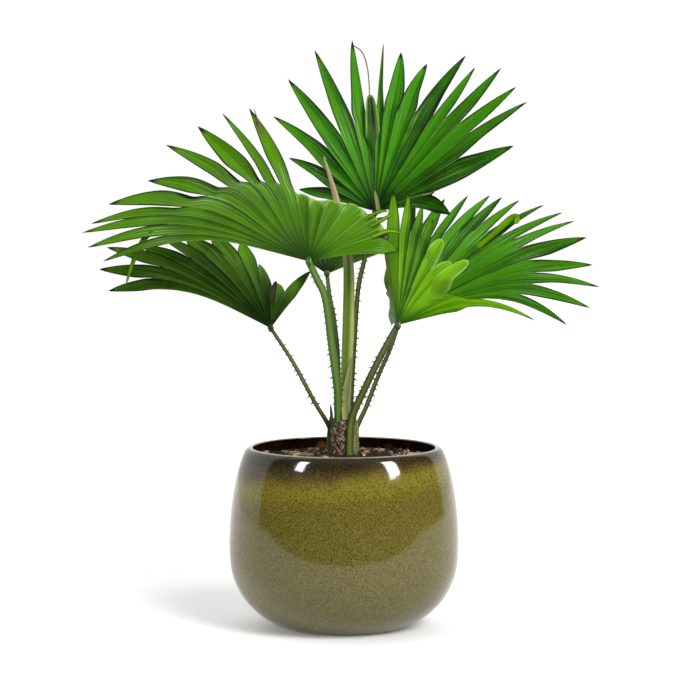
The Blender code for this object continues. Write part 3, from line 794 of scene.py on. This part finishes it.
def fan_axes(frond):
    """The fan's middle direction, its left and its face."""
    azimuth, elevation = (math.radians(v) for v in frond["middle"])
    middle = np.array((math.cos(azimuth) * math.cos(elevation),
                       math.sin(azimuth) * math.cos(elevation), math.sin(elevation)))
    left = np.array((-math.sin(azimuth), math.cos(azimuth), 0.0))
    return middle, left, np.cross(middle, left)


def fan_side(frond, bearing):
    """The outward side, the face and the lean of the half of the fan that a finger is in."""
    middle, left, face = fan_axes(frond)
    lean = math.radians(frond["lean"][0 if bearing > 0 else 1])
    side = left if bearing > 0 else -left
    return middle, side * math.cos(lean) + face * math.sin(lean), \
        face * math.cos(lean) - side * math.sin(lean)


class Midrib:
    """A finger's middle line: places and turn at every millimetre from the hub."""

    def __init__(self, name, frond, finger, share=0.0):
        bearing, reach, fused, droop, fold = finger
        middle, side, face = fan_side(frond, bearing)
        turn = math.radians(abs(bearing))
        self.start = middle * math.cos(turn) + side * math.sin(turn)
        self.face = face
        down = -face if fold else np.array((0.0, 0.0, -1.0))
        self.down = unit(down - self.start * down.dot(self.start))
        self.steps = np.arange(math.ceil(reach) + 2) + 0.5
        if fold:
            fold -= FOLD_ROUNDING * share * share
            bend = smooth_step((self.steps - fold) / FOLD_LENGTH + 0.5)
        else:
            bend = smooth_step((self.steps / reach - DROOP_FROM) / (1.0 - DROOP_FROM))
        self.angles = math.radians(droop) * bend
        headings = np.outer(np.cos(self.angles), self.start) \
            + np.outer(np.sin(self.angles), self.down)
        hub = np.array(frond["hub"], float)
        self.places = np.vstack([hub, hub + np.cumsum(headings, axis=0)])
        if name in DOMES and bearing > 0:
            swell, dip = DOMES[name]
            strength = smooth_step(bearing / 40.0) * smooth_step((84.0 - bearing) / 16.0)
            swell, dip = swell * strength, dip * strength
            out = np.arange(len(self.places)) / fused
            bulge = swell * smooth_step((out - 0.30) / 0.55) * smooth_step((1.06 - out) / 0.16)
            bulge -= dip * smooth_step((out - 0.98) / 0.1) * smooth_step((1.35 - out) / 0.25)
            self.places += np.outer(bulge, fan_axes(frond)[2])

    def at(self, distance):
        whole = np.arange(len(self.places))
        return np.stack([np.interp(distance, whole, self.places[:, k]) for k in range(3)], -1)

    def heading(self, distance):
        angle = np.interp(distance, self.steps, self.angles)[..., None]
        return np.cos(angle) * self.start + np.sin(angle) * self.down

    def carried(self, offset, before, after):
        """An offset at one distance, turned with the midrib to other distances."""
        turn = (np.interp(after, self.steps, self.angles)
                - np.interp(before, self.steps, self.angles))[..., None]
        axis = np.cross(self.start, self.down)
        return offset * np.cos(turn) + np.cross(axis, offset) * np.sin(turn) \
            + axis * (offset @ axis) * (1.0 - np.cos(turn))


print("midribs ready")

# %% Ridges and edges
OUTER_EDGE = 0.6
FRONT = np.array((0.1, -1.0, 0.25))


def ridge_between(one, other, distance, pleat):
    """The raised ridge that two neighbours share at some distances from the hub."""
    here, there = one.at(distance), other.at(distance)
    between = there - here
    raised = unit(np.cross(one.heading(distance) + other.heading(distance), between) + 1e-9)
    raised *= np.sign(raised @ one.face)[..., None]
    spacing = np.linalg.norm(between, axis=-1, keepdims=True)
    return (here + there) / 2.0 + raised * spacing / 2.0 * pleat


def turned(offset, heading, angle):
    """An offset turned round the finger's own line."""
    cos, sin = np.cos(angle)[..., None], np.sin(angle)[..., None]
    along = np.sum(offset * heading, -1, keepdims=True)
    return offset * cos + np.cross(heading, offset) * sin + heading * along * (1.0 - cos)


def angle_to_front(heading, face):
    """How far a finger's face would have to turn round its own line to look to the front."""
    ahead = unit(FRONT - heading * (FRONT @ heading))
    face = unit(face - heading * (face @ heading))
    return math.atan2(np.cross(face, ahead) @ heading, face @ ahead)


def outer_edge(rib, inner, distance):
    """The outermost finger's free side: its ridge mirrored over the midrib."""
    offset = inner(distance) - rib.at(distance)
    heading = rib.heading(distance)
    raised = unit(rib.face - heading * (heading @ rib.face)[..., None])
    return rib.at(distance) + (2.0 * raised * np.sum(offset * raised, -1, keepdims=True)
                               - offset) * OUTER_EDGE


print("ridges ready")

# %% A finger's sheet and the whole blade
BLADE_START = 2.0
JOINED_ROWS = 18
FREE_ROWS = 26
HALF_COLUMNS = 4
FOLDED_TAPER = (0.7, 0.6)
FOLD_EDGE = 2.6
TWIST = 22.0
FLATTENED = 0.6
BLUNT_BELOW = 0.8
LEAF_THICKNESS = 0.6


def finger_sheet(name, frond, number, ribs, chance):
    """One finger's grid: columns from its left edge over the midrib to its right edge."""
    fingers = frond["fingers"]
    finger = fingers[number]
    bearing, reach, fused, _, fold = finger
    rib = ribs[number]
    half = 0 if bearing > 0 else 1

    def ridge(side):
        other = number + side
        if 0 <= other < len(fingers):
            mean = (bearing + fingers[other][0]) / 2.0
            pleat = frond["pleat"][0 if mean > 0 else 1]
            return lambda d: ridge_between(rib, ribs[other], d, pleat)
        inner = ridge(-side)
        return lambda d: outer_edge(rib, inner, d)

    def parting(side):
        other = number + side if 0 <= number + side < len(fingers) else number - side
        return (fused + fingers[other][2]) / 2.0

    taper, fullness = FOLDED_TAPER if fold else frond["taper"]
    breadth, lift, point = frond.get("odd", {}).get(number, (1.0, 0.0, 1.0))
    taper *= point
    blunt = point < BLUNT_BELOW
    twist = math.radians(chance.uniform(-TWIST, TWIST)) * (not fold)
    twist += frond["turn"][half] * angle_to_front(rib.heading(np.array(fused)), rib.face)
    points, across, along, rim, outs = [], [], [], [], []
    for share in np.linspace(-1.0, 1.0, 2 * HALF_COLUMNS + 1):
        side = -1 if share < 0 else 1
        part = fused + (parting(side) - fused) * abs(share)
        joined = np.linspace(BLADE_START, part, JOINED_ROWS)
        free = part + (reach - part) * np.linspace(0.0, 1.0, FREE_ROWS + 1)[1:]
        inner = rib.at(joined)
        edge = ridge(side)(joined)
        near = inner + (edge - inner) * abs(share)
        own = Midrib(name, frond, finger, share)
        offset = near[-1] - own.at(part)
        out = ((free - part) / (reach - part))[:, None]
        width = (1.0 - out) ** taper * (1.0 + fullness * out)
        width = width * (1.0 + (breadth - 1.0) * smooth_step(out / 0.2))
        carried = own.carried(offset, part, free)
        carried = turned(carried, own.heading(free), twist * smooth_step(out[:, 0] / 0.45))
        far = own.at(free) + carried * width + rib.face * lift * smooth_step(out / 0.4)
        points.append(np.vstack([near, far]))
        distance = np.concatenate([joined, free])
        across.append(np.full(len(distance), number + 0.5 * (share + 1.0)))
        along.append(distance / reach)
        reached = (distance - part) / (reach - part)
        outs.append(0.0 * reached if blunt else reached)
        # The rim attribute is a painted highlight: a pale line along a folded finger's crest, or
        # round a blunt end.
        if fold:
            bent = fold - FOLD_ROUNDING * share * share
            rim.append(np.exp(-((distance - bent) / FOLD_EDGE) ** 2))
        else:
            edged = np.maximum(abs(share) ** 6, smooth_step((reached - 0.93) / 0.05))
            rim.append(edged * smooth_step(reached / 0.1) * blunt)
    points, across, along, rim, outs = [np.stack(part, axis=1)
                                        for part in (points, across, along, rim, outs)]
    flat = np.concatenate([np.zeros(JOINED_ROWS), np.linspace(0.0, 1.0, FREE_ROWS + 1)[1:]])
    middle = (points[:, :1] + points[:, -1:]) / 2.0
    slope = 1.0 - np.abs(np.linspace(-1.0, 1.0, 2 * HALF_COLUMNS + 1))
    points += FLATTENED * flat[:, None, None] * slope[None, :, None] \
        * (middle - points[:, HALF_COLUMNS:HALF_COLUMNS + 1])
    tone = np.full(rim.shape, frond["tones"][number] / 100.0)
    return shaped_grid("%s_%d" % (name, number), points, across, along,
                       {"rim": rim, "tone": tone, "out": outs})


def blade(name, frond, chance):
    ribs = [Midrib(name, frond, finger) for finger in frond["fingers"]]
    sheets = [finger_sheet(name, frond, k, ribs, chance) for k in range(len(ribs))]
    piece = clean(join(sheets), 1e-5)
    return apply_modifier(piece, "SOLIDIFY", thickness=LEAF_THICKNESS * MM, offset=0.0)


print("blade kit ready")

# %% [markdown]
# Leaf colour carries most of the likeness. Each finger is a bright saturated green with fine veins
# along it and pale threads, with painted shade at the hub and on its right side, painted pale
# highlights on its ridges and folds, painted glints where it parts, thin dark margins and a black
# brown tip. The blades' own map
# says where: its whole part counts the fingers, its fraction runs across one finger, and the other
# axis runs from hub to tip. The attribute out is 0 where a finger parts and 1 at its tip.

# %% Leaf paint
# PALE is the pale of the painted highlights on folds, ridges and rims, and of the leaf's pale
# threads.
PALE = (0.36, 0.62, 0.12)
# The pale of the painted glints.
GLINT_PALE = (0.50, 0.72, 0.34)
TIP_BLACK = (0.010, 0.014, 0.004)


def leaf_paint(name, dark, bright, glint_share, side_shade):
    material, paint, shader = new_paint(name, Specular_IOR_Level=0.06)
    u, v, _ = paint.parts(paint.map())
    out = paint.attribute("out")
    across = u.fraction()
    side = abs(across - 0.5) * 2.0
    streak = paint.noise(paint.map(17.0, 1.6), 1.0, 2.0)
    fine = paint.noise(paint.map(60.0, 1.2), 1.0, 2.0)
    cloud = paint.noise(paint.place(), 30.0, 2.0)
    # The last term paints the right side of each finger darker than its left: painted shade, as the
    # key light falls on the left side of each fold.
    tone = 0.56 + paint.attribute("tone") + (streak - 0.5) * 1.7 + (fine - 0.5) * 1.0 \
        + (cloud - 0.5) * 0.8 + out.step(0.0, 0.35) * 0.12 - side.step(0.5, 1.0) * 0.20 \
        + (0.5 - across) * side_shade
    # Painted shade: the tone falls to a tenth towards the hub, where the fingers crowd together.
    tone = tone.most(0.0).least(1.0) * (0.10 + 0.90 * v.step(0.02, 0.36))
    colour = paint.mix(tone, dark, bright)
    # Painted highlights: pale lines along each finger's middle fold and along the ridges of the
    # joined part. The pale threads along the veins are the leaf's own colour.
    fold_highlight = side.step(0.05, 0.0) * 0.22
    ridge = side.step(0.93, 0.99) * v.step(0.04, 0.2) * out.step(0.04, -0.02) * 0.42
    thread = fine.step(0.62, 0.68) * 0.25 * v.step(0.05, 0.3)
    colour = paint.mix(fold_highlight.most(ridge).most(thread), colour, PALE)
    # Painted glint: pale patches where the fingers part stand in for glossy highlights.
    glint = streak.step(0.52, 0.60) * fine.step(0.50, 0.58) * out.bell(0.05, 0.45) * glint_share
    colour = paint.mix(glint, colour, GLINT_PALE)
    # Painted highlight: the rim attribute lays pale along fold crests and round blunt ends.
    colour = paint.mix(paint.attribute("rim") * 0.85, colour, PALE)
    margin = side.step(0.78, 0.95) * out.step(0.0, 0.08) * 0.88
    tip = (out + (streak - 0.5) * 0.10).step(0.84, 0.95)
    colour = paint.mix(margin.most(tip), colour, TIP_BLACK)
    feed(paint, shader, Base_Color=colour, Roughness=0.30 + streak * 0.24,
         Normal=paint.bump(streak + fine * 0.5, 0.5, 0.0008))
    return material


print("leaf paint ready")

# %% Six blades
# The slot, the dark and the bright green, how much painted glint there is, and how much darker the
# right side of a finger is painted than its left, as painted shade. The fronds further back and the
# one under the big left frond have darker greens as painted shade, and the near right frond, fresh
# and in the key light, a brighter lime that is partly painted light.
LEAVES = {
    "frond_top": ("leaf_green", (0.003, 0.026, 0.003), (0.060, 0.310, 0.003), 0.5, 0.55),
    "frond_left_upper": ("leaf_green", (0.008, 0.030, 0.002), (0.085, 0.255, 0.001), 0.7, 0.35),
    "frond_left_lower": ("leaf_dark", (0.008, 0.030, 0.003), (0.100, 0.260, 0.008), 0.3, 0.40),
    "frond_right_far": ("leaf_dark", (0.003, 0.026, 0.004), (0.070, 0.310, 0.004), 0.9, 0.75),
    "frond_right_near": ("leaf_lime", (0.012, 0.080, 0.002), (0.190, 0.480, 0.002), 0.0, 0.50),
    "frond_back": ("leaf_green", (0.003, 0.020, 0.002), (0.040, 0.160, 0.004), 0.0, 0.50),
}
greens = {}
for name, frond in FRONDS.items():
    slot, dark, bright, glint_share, side_shade = LEAVES[name]
    greens[name] = leaf_paint(name + "_green", dark, bright, glint_share, side_shade)
    settle(blade(name, frond, chance), name + "_blade", greens[name], name, smooth=24.0)

# %% [markdown]
# ## Petioles and their spines
# Each fan is carried by a long stalk, rounded at the back and channelled in front, with a thick
# knot where it spreads into the blade. A curve with a round bevel has no channel, so the stalk is
# a grid rolled round its route and closed. The knot is a ball, flattened into the fan's plane.

# %% Stalks and hubs
CHANNEL_DEPTH = 0.42
KNOT_SIZE = (6.0, 3.4, 2.4)


def petiole_route(frond):
    return smooth_route(frond["petiole"] + [frond["hub"]], 12)


def petiole_rod(name, frond):
    route = petiole_route(frond)
    base, end = frond["radius"]

    def section(angle, share):
        radius = base + (end - base) * share
        channel = 1.0 - CHANNEL_DEPTH * np.maximum(np.sin(angle), 0.0) ** 3
        return radius * np.cos(angle), radius * np.sin(angle) * channel

    return swept(name, route, fan_axes(frond)[2] + np.array((0.0, -0.6, 0.0)), section, 20)


def hub_knot(frond):
    """The thick joint where the stalk spreads into the blade: a flattened ball."""
    middle, left, face = fan_axes(frond)
    deselect()
    bpy.ops.mesh.primitive_uv_sphere_add(segments=20, ring_count=12, radius=MM)
    knot = bpy.context.object
    turn = Matrix((middle, left, face)).transposed().to_4x4()
    size = Matrix.Diagonal((*KNOT_SIZE, 1.0))
    knot.data.transform(Matrix.Translation(Vector(frond["hub"]) * MM) @ turn @ size)
    return knot


print("stalks ready")

# %% [markdown]
# Hooked spines run down both edges of a stalk, and get smaller towards the blade. One is modelled,
# a cone whose point is bent over, and copied with its foot sunk in the stalk. The three directions
# of its matrix are right-handed, because a mirrored copy would be inside out.

# %% Spines
SPINE_START = 232.0
SPINES_UP_TO = 0.93
SPINE_GAP = 6.4
SPINE_LENGTH = 4.4
SPINE_WIDTH = 0.24
SPINE_HOOK = 0.45
SPINE_SUNK = 1.0


def one_spine():
    deselect()
    bpy.ops.mesh.primitive_cone_add(vertices=6, radius1=SPINE_WIDTH, radius2=0.0, depth=1.0,
                                    location=(0.0, 0.0, 0.5), end_fill_type="NGON")
    spine = bpy.context.object
    bpy.ops.object.transform_apply(location=True)
    bpy.ops.object.mode_set(mode="EDIT")
    bpy.ops.mesh.select_all(action="SELECT")
    bpy.ops.mesh.subdivide(number_cuts=2)
    bpy.ops.object.mode_set(mode="OBJECT")
    for corner in spine.data.vertices:
        corner.co.x -= SPINE_HOOK * corner.co.z ** 2
    return spine


def spine_rows(frond, model, chance):
    """Copies of the spine down both edges of a petiole, smaller towards the blade."""
    route = petiole_route(frond)
    lengths = np.concatenate([[0.0], np.cumsum(np.linalg.norm(np.diff(route, axis=0), axis=1))])
    base, end = frond["radius"]
    due = np.interp(SPINE_START, route[:, 2], lengths)
    copies = []
    while due < SPINES_UP_TO * lengths[-1]:
        place = Vector([np.interp(due, lengths, route[:, k]) for k in range(3)])
        ahead = Vector([np.interp(due + 2.0, lengths, route[:, k]) for k in range(3)])
        along = (ahead - place).normalized()
        share = due / lengths[-1]
        side = 1.0 if len(copies) % 2 else -1.0
        outward = along.cross(Vector((0.0, 1.0, 0.0))).normalized() * side
        size = (SPINE_LENGTH * (1.0 - 0.45 * share) + 1.0) * chance.uniform(0.65, 1.15)
        turn = Matrix((along, outward.cross(along), outward)).transposed().to_4x4()
        root = place + outward * (base + (end - base) * share - SPINE_SUNK)
        copies.append(placed_copy(model, Matrix.Translation(root), turn, Matrix.Scale(size, 4)))
        due += SPINE_GAP / 2.0 * chance.uniform(0.7, 1.3)
    return join(copies)


print("spines ready")

# %% [markdown]
# A stalk's green runs in streaks along it, paler down the channel, which is partly a painted
# highlight on its face, and brown along the edges where the spines sit. Its own map tells the three
# apart, as one axis runs round the stalk.

# %% Petioles with their spines
CHANNEL_PALE_AND_HIGHLIGHT = (0.34, 0.40, 0.06)
EDGE_BROWN = (0.020, 0.020, 0.008)


def petiole_paint(name, back, front):
    material, paint, shader = new_paint(name, Roughness=0.48, Specular_IOR_Level=0.35)
    u = paint.parts(paint.map())[0]
    streak = paint.noise(paint.map(22.0, 3.0), 1.0, 3.0)
    channel_pale_and_highlight = u.bell(0.25, 0.16)
    rims = u.bell(0.02, 0.07).most(u.bell(0.48, 0.07)).most(u.bell(1.0, 0.05))
    colour = paint.mix(streak.step(0.3, 0.7), back, front)
    # Paler down the channel: the stalk's paler face with a painted highlight on it.
    colour = paint.mix(channel_pale_and_highlight * 0.45, colour, CHANNEL_PALE_AND_HIGHLIGHT)
    colour = paint.mix(rims * 0.8, colour, EDGE_BROWN)
    feed(paint, shader, Base_Color=colour, Normal=paint.bump(streak, 0.3, 0.0006))
    return material


# The green at the stalk's back and in its streaks.
PETIOLES = {
    "frond_top": ((0.004, 0.007, 0.004), (0.012, 0.018, 0.008)),
    "frond_left_upper": ((0.012, 0.085, 0.006), (0.050, 0.210, 0.012)),
    "frond_left_lower": ((0.008, 0.012, 0.005), (0.035, 0.055, 0.014)),
    "frond_right_far": ((0.007, 0.011, 0.005), (0.030, 0.045, 0.012)),
    "frond_right_near": ((0.012, 0.026, 0.006), (0.050, 0.090, 0.014)),
    "frond_back": ((0.015, 0.050, 0.008), (0.040, 0.110, 0.015)),
}
spines_brown = speckled_paint("spine_brown", 0.45, 200.0, (0.012, 0.009, 0.006),
                              (0.045, 0.032, 0.014))
for name, frond in FRONDS.items():
    stalk_paint = petiole_paint(name + "_petiole", *PETIOLES[name])
    stalk = join([petiole_rod(name, frond), hub_knot(frond)])
    settle(stalk, name + "_petiole", stalk_paint)
    model = one_spine()
    spines = spine_rows(frond, model, chance)
    bpy.data.objects.remove(model)
    settle(spines, name + "_spines", spines_brown, smooth=60.0)

# %% [markdown]
# ## The spear leaf
# The newest leaf is still a closed fan, rolled into a tapering rod with fine ridges where its
# pleats lie side by side. A rolled grid with a rippled section gives that. It is yellow-green
# with a brown streak and a pale painted highlight down the side that faces the key light, and its
# dry upper part is tan.

# %% Spear leaf
SPEAR_ROUTE = [(1, 3, 170), (1, 3, 215), (2, 1, 258), (4.5, 0, 321), (4, 0, 386),
               (-7, 0, 443), (-21, 0, 491)]
SPEAR_RADIUS = [5.2, 5.2, 5.8, 6.4, 5.4, 3.6, 0.9]
SPEAR_PLEATS = 9.0
PLEAT_DEPTH = 0.035
SPEAR_FLATNESS = 0.05


def spear():
    route = smooth_route(SPEAR_ROUTE, 16)
    radii = smooth_route([(r, 0.0, 0.0) for r in SPEAR_RADIUS], 16)[:, :1]

    def section(angle, share):
        folds = 1.0 + PLEAT_DEPTH * np.cos(SPEAR_PLEATS * angle + 2.0 * share) \
            - SPEAR_FLATNESS * np.cos(2.0 * angle)
        return radii * folds * np.cos(angle), radii * folds * np.sin(angle)

    return swept("spear", route, np.array((0.0, -1.0, 0.0)), section, 48)


def spear_paint():
    material, paint, shader = new_paint("spear_leaf", Roughness=0.42)
    u, v, _ = paint.parts(paint.map())
    streak = paint.noise(paint.map(30.0, 2.2), 1.0, 3.0)
    colour = paint.mix(streak.step(0.35, 0.7), (0.140, 0.240, 0.018), (0.270, 0.380, 0.040))
    # Painted highlight: a pale stripe down the side that faces the key light.
    colour = paint.mix(u.bell(0.14, 0.07) * 0.7, colour, (0.520, 0.560, 0.200))
    colour = paint.mix(u.bell(0.27, 0.035) * v.step(0.25, 0.5) * 0.7, colour,
                       (0.120, 0.075, 0.025))
    tan = paint.mix(streak.step(0.4, 0.6), (0.330, 0.230, 0.120), (0.620, 0.480, 0.300))
    colour = paint.mix((v + (streak - 0.5) * 0.2).step(0.62, 0.76), colour, tan)
    feed(paint, shader, Base_Color=colour, Normal=paint.bump(streak, 0.5, 0.0006))
    return material


settle(spear(), "spear_leaf_rolled", spear_paint(), "spear_leaf", smooth=50.0)

# %% [markdown]
# ## Threads, curls and dry ends
# A real palm has its untidy bits: a finger frayed into threads, a bent one that hangs, fresh curls
# between two fans, dry ends, and the old leaf bases that sheathe the stem. Each is a narrow strap.
# It is given by a few places in the photograph with a depth, which the camera turns into
# millimetres, and a grid is laid along them.

# %% Straps
PHOTO_SIDE = 679.0
STRAP_COLUMNS = 5
# A strap's map stays inside one whole number, begins well away from the hub's dark end and stops
# short of the black tip.
ONE_FINGER = 0.998
STRAP_STARTS = 0.4
STRAP_ENDS = 0.8


def seen_at(x, y, depth):
    """The place in mm, at a depth in mm, that the photograph shows at pixel x, y."""
    tilt = math.radians(CAMERA_DOWN)
    pixels = CAMERA_LENS / camera.data.sensor_width * PHOTO_SIDE
    rise = (PHOTO_SIDE / 2.0 - y) / pixels
    away = depth - CAMERA_PLACE[1] / MM
    drop = away * (rise * math.cos(tilt) - math.sin(tilt)) \
        / (math.cos(tilt) + rise * math.sin(tilt))
    ahead = away * math.cos(tilt) - drop * math.sin(tilt)
    return (CAMERA_PLACE[0] / MM + (x - PHOTO_SIDE / 2.0) / pixels * ahead, depth,
            CAMERA_PLACE[2] / MM + drop)


def strap(number, points, width, tone=0.0, cup=0.3, blunt=1.0):
    """A narrow sheet through places in the photograph, pointed unless blunt is small."""
    route = smooth_route([seen_at(*p) for p in points], 8)
    along = unit(np.gradient(route, axis=0))
    side = unit(np.cross(along, FRONT))
    ahead = np.cross(side, along)
    far = np.linspace(0.0, 1.0, len(route))[:, None]
    share = np.linspace(-1.0, 1.0, STRAP_COLUMNS)[None, :]
    half = width * (1.0 - far ** 2) ** (0.7 * blunt) * (0.75 + 0.5 * far)
    wide = (half * share)[..., None]
    deep = (half * cup * share ** 2)[..., None]
    places = route[:, None] + side[:, None] * wide + ahead[:, None] * deep
    ones = np.ones((len(route), STRAP_COLUMNS))
    across = number + (share + 1.0) / 2.0 * ones * ONE_FINGER
    along = (STRAP_STARTS + (1.0 - STRAP_STARTS) * far) * ones
    return shaped_grid("strap", places, across, along,
                       {"rim": ones * 0.0, "tone": ones * tone,
                        "out": far * ones * STRAP_ENDS})


def dress(name, straps, paint):
    piece = join([strap(k, *one) for k, one in enumerate(straps)])
    apply_modifier(clean(piece, 1e-6), "SOLIDIFY", thickness=LEAF_THICKNESS * MM, offset=0.0)
    settle(piece, name, paint, smooth=35.0)


print("strap kit ready")

# %% [markdown]
# The curls are fresh and lime green, the torn ends dry and brown, and the sheaths green to tan, so
# each group is one piece with a paint of its own. The depth of each root is that of the leaf, stalk
# or stem that carries it, so that none hangs in the air.

# %% Threads, curls and sheaths
def dry_paint():
    material, paint, shader = new_paint("dry_leaf", Roughness=0.75, Specular_IOR_Level=0.2)
    streak = paint.noise(paint.map(12.0, 2.0), 1.0, 2.0)
    far = paint.attribute("out")
    colour = paint.mix(streak.step(0.35, 0.65), (0.090, 0.060, 0.030), (0.260, 0.200, 0.110))
    colour = paint.mix(far.step(0.5, 0.9) * 0.8, colour, (0.030, 0.022, 0.014))
    feed(paint, shader, Base_Color=colour)
    return material


def sheath_paint():
    material, paint, shader = new_paint("sheath", Roughness=0.6, Specular_IOR_Level=0.25)
    streak = paint.noise(paint.map(14.0, 2.0), 1.0, 2.0)
    tone = paint.attribute("tone")
    colour = paint.mix(streak.step(0.35, 0.65), (0.060, 0.075, 0.014), (0.220, 0.260, 0.060))
    colour = paint.mix(tone.most(0.0), colour, (0.520, 0.560, 0.220))
    colour = paint.mix((-tone).most(0.0), colour, (0.030, 0.024, 0.012))
    feed(paint, shader, Base_Color=colour, Normal=paint.bump(streak, 0.5, 0.0008))
    return material


# A strap is: its places, half its width, then its tone, how hollow it is and how pointed.
dress("lime_curls", [
    ([(370, 227, -44), (384, 219, -42), (393, 214, -38)], 2.4, 0.2, 0.5),
    ([(372, 237, -53.5), (388, 231, -52), (402, 233, -48)], 2.6, 0.3, 0.5),
    ([(366, 219, -44), (378, 212, -42), (388, 211, -38)], 2.0, 0.1, 0.5),
    ([(478, 247, 71), (497, 231, 72), (511, 219, 75), (517, 218, 72), (515, 224, 68)],
     4.2, 0.2, 0.3, 0.5),
    ([(154, 233, -164), (146, 237, -166), (139, 248, -166), (132, 265, -163),
      (125.5, 286, -158)], 3.0, -0.1),
], greens["frond_right_near"])
dress("dry_ends", [
    ([(352.6, 45, 100.5), (362, 52, 98), (367, 66, 92), (369, 82, 83), (369.5, 97, 75.5)],
     0.7, 0.0, 0.0, 0.4),
    ([(264, 142, -28.5), (260, 131, -22), (255.6, 120, -17)], 0.9),
    ([(262, 134, -24), (258, 121, -16), (254, 109, -9)], 0.8),
    ([(412, 205, 33.6), (425, 198, 33), (434.7, 192, 32)], 1.6),
    ([(272, 303, 50), (273, 292, 47), (276, 281, 43)], 3.2, 0.0, 0.3, 0.6),
], dry_paint())
dress("stem_sheaths", [
    ([(329.5, 460, -4), (328.5, 440, -4), (330, 424, -4), (332, 412, -4)], 2.0, -0.45, 0.8, 0.6),
    ([(354, 462, -10.5), (355.5, 440, -10), (355, 424, -9), (354, 410, -8)], 2.2, 0.45, 0.8, 0.6),
    ([(345, 420, -12), (345, 400, -8), (348, 378, -7), (352, 357, -5)], 4.2, 0.55, 0.5),
    ([(333, 430, -10), (331.5, 416, -10), (330.5, 404, -11)], 1.8, -0.8),
    ([(379, 214, 40), (377, 202, 37), (374.5, 190, 36)], 2.6, 0.35, 0.4),
], sheath_paint())

# %% [markdown]
# ## The stem
# The short trunk is clothed in the torn bases of old leaves: a brown net of fibres that cross both
# ways. The core is a grid rolled up and closed, drawn in at the top to the stem's outline, with the
# crossing pattern raised on it, so that no smooth ground shows between the fibres.

# %% Stem core
STEM_BOTTOM = 150.0
STEM_TOP = 223.0
STEM_RADIUS = 14.5
STEM_TAPER = 0.45
TAPER_FROM = 0.80
FIBRES_FROM = 172.0
FIBRE_RELIEF = 0.8
CROSSINGS = 7.0
CROSSING_PITCH = 0.55


def stem_outline(height):
    rise = (height - STEM_BOTTOM) / (STEM_TOP - STEM_BOTTOM)
    return STEM_RADIUS * (1.0 - STEM_TAPER * smooth_step((rise - TAPER_FROM) / (1.0 - TAPER_FROM)))


def stem_core():
    route = np.array([(0.0, 0.0, z) for z in np.linspace(STEM_BOTTOM, STEM_TOP, 60)])
    heights = route[:, 2:3]

    def section(angle, share):
        crossing = np.sin(CROSSINGS * angle + CROSSING_PITCH * heights) \
            + np.sin(CROSSINGS * angle - CROSSING_PITCH * heights)
        relief = 0.5 * FIBRE_RELIEF * crossing * smooth_step((heights - FIBRES_FROM) / 6.0)
        radius = stem_outline(heights) + relief
        return radius * np.cos(angle), radius * np.sin(angle)

    return swept("stem_core", route, np.array((0.0, -1.0, 0.0)), section, 72)


def core_paint():
    material, paint, shader = new_paint("stem_core", Roughness=0.9)
    place = paint.place()
    streak = paint.noise(paint.node("Mapping", {}, {"Vector": place, "Scale": (1.0, 1.0, 0.2)}),
                         500.0, 3.0)
    colour = paint.mix(streak, (0.020, 0.010, 0.006), (0.130, 0.065, 0.030))
    feed(paint, shader, Base_Color=colour, Normal=paint.bump(streak, 0.8, 0.001))
    return material


settle(stem_core(), "stem_core", core_paint(), "stem")

# %% [markdown]
# The net itself is a few hundred thin threads wound round the core both ways, thinner at their
# ends. A curve object with a round bevel draws threads best, and it is then turned into a mesh.

# %% Crossed fibres
FIBRE_COUNT = 260
FIBRE_RADIUS = 0.38
FIBRE_POINTS = 12
LOWEST_STARTS = (174.0, 205.0)
FIBRE_RISE = (10.0, 34.0)
FIBRE_SLOPE = (0.035, 0.085)
FIBRE_LIFT = (0.2, 1.1)


def fibre_net(chance):
    curve = bpy.data.curves.new("fibres", "CURVE")
    curve.dimensions = "3D"
    curve.bevel_depth = FIBRE_RADIUS * MM
    curve.bevel_resolution = 1
    curve.use_fill_caps = True
    for _ in range(FIBRE_COUNT):
        start = chance.uniform(0.0, 2.0 * math.pi)
        low = chance.uniform(*LOWEST_STARTS)
        high = min(low + chance.uniform(*FIBRE_RISE), STEM_TOP + chance.uniform(-6.0, 9.0))
        slope = chance.choice((-1.0, 1.0)) * chance.uniform(*FIBRE_SLOPE)
        lift = chance.uniform(*FIBRE_LIFT)
        line = curve.splines.new("POLY")
        line.points.add(FIBRE_POINTS - 1)
        for k, point in enumerate(line.points):
            height = low + (high - low) * k / (FIBRE_POINTS - 1.0)
            angle = start + slope * (height - low)
            radius = float(stem_outline(height)) + lift + 0.25 * math.sin(k * 1.7 + start)
            point.co = (radius * math.cos(angle) * MM, radius * math.sin(angle) * MM,
                        height * MM, 1.0)
            point.radius = 1.0 - 0.6 * abs(2.0 * k / (FIBRE_POINTS - 1.0) - 1.0)
    net = bpy.data.objects.new("fibres", curve)
    bpy.context.collection.objects.link(net)
    choose(net)
    bpy.ops.object.convert(target="MESH")
    return bpy.context.object


fibres_brown = speckled_paint("stem_fibre", 0.8, 260.0, (0.090, 0.045, 0.024),
                              (0.560, 0.430, 0.300), (0.4, 0.62))
settle(fibre_net(chance), "stem_fibres", fibres_brown, smooth=60.0)
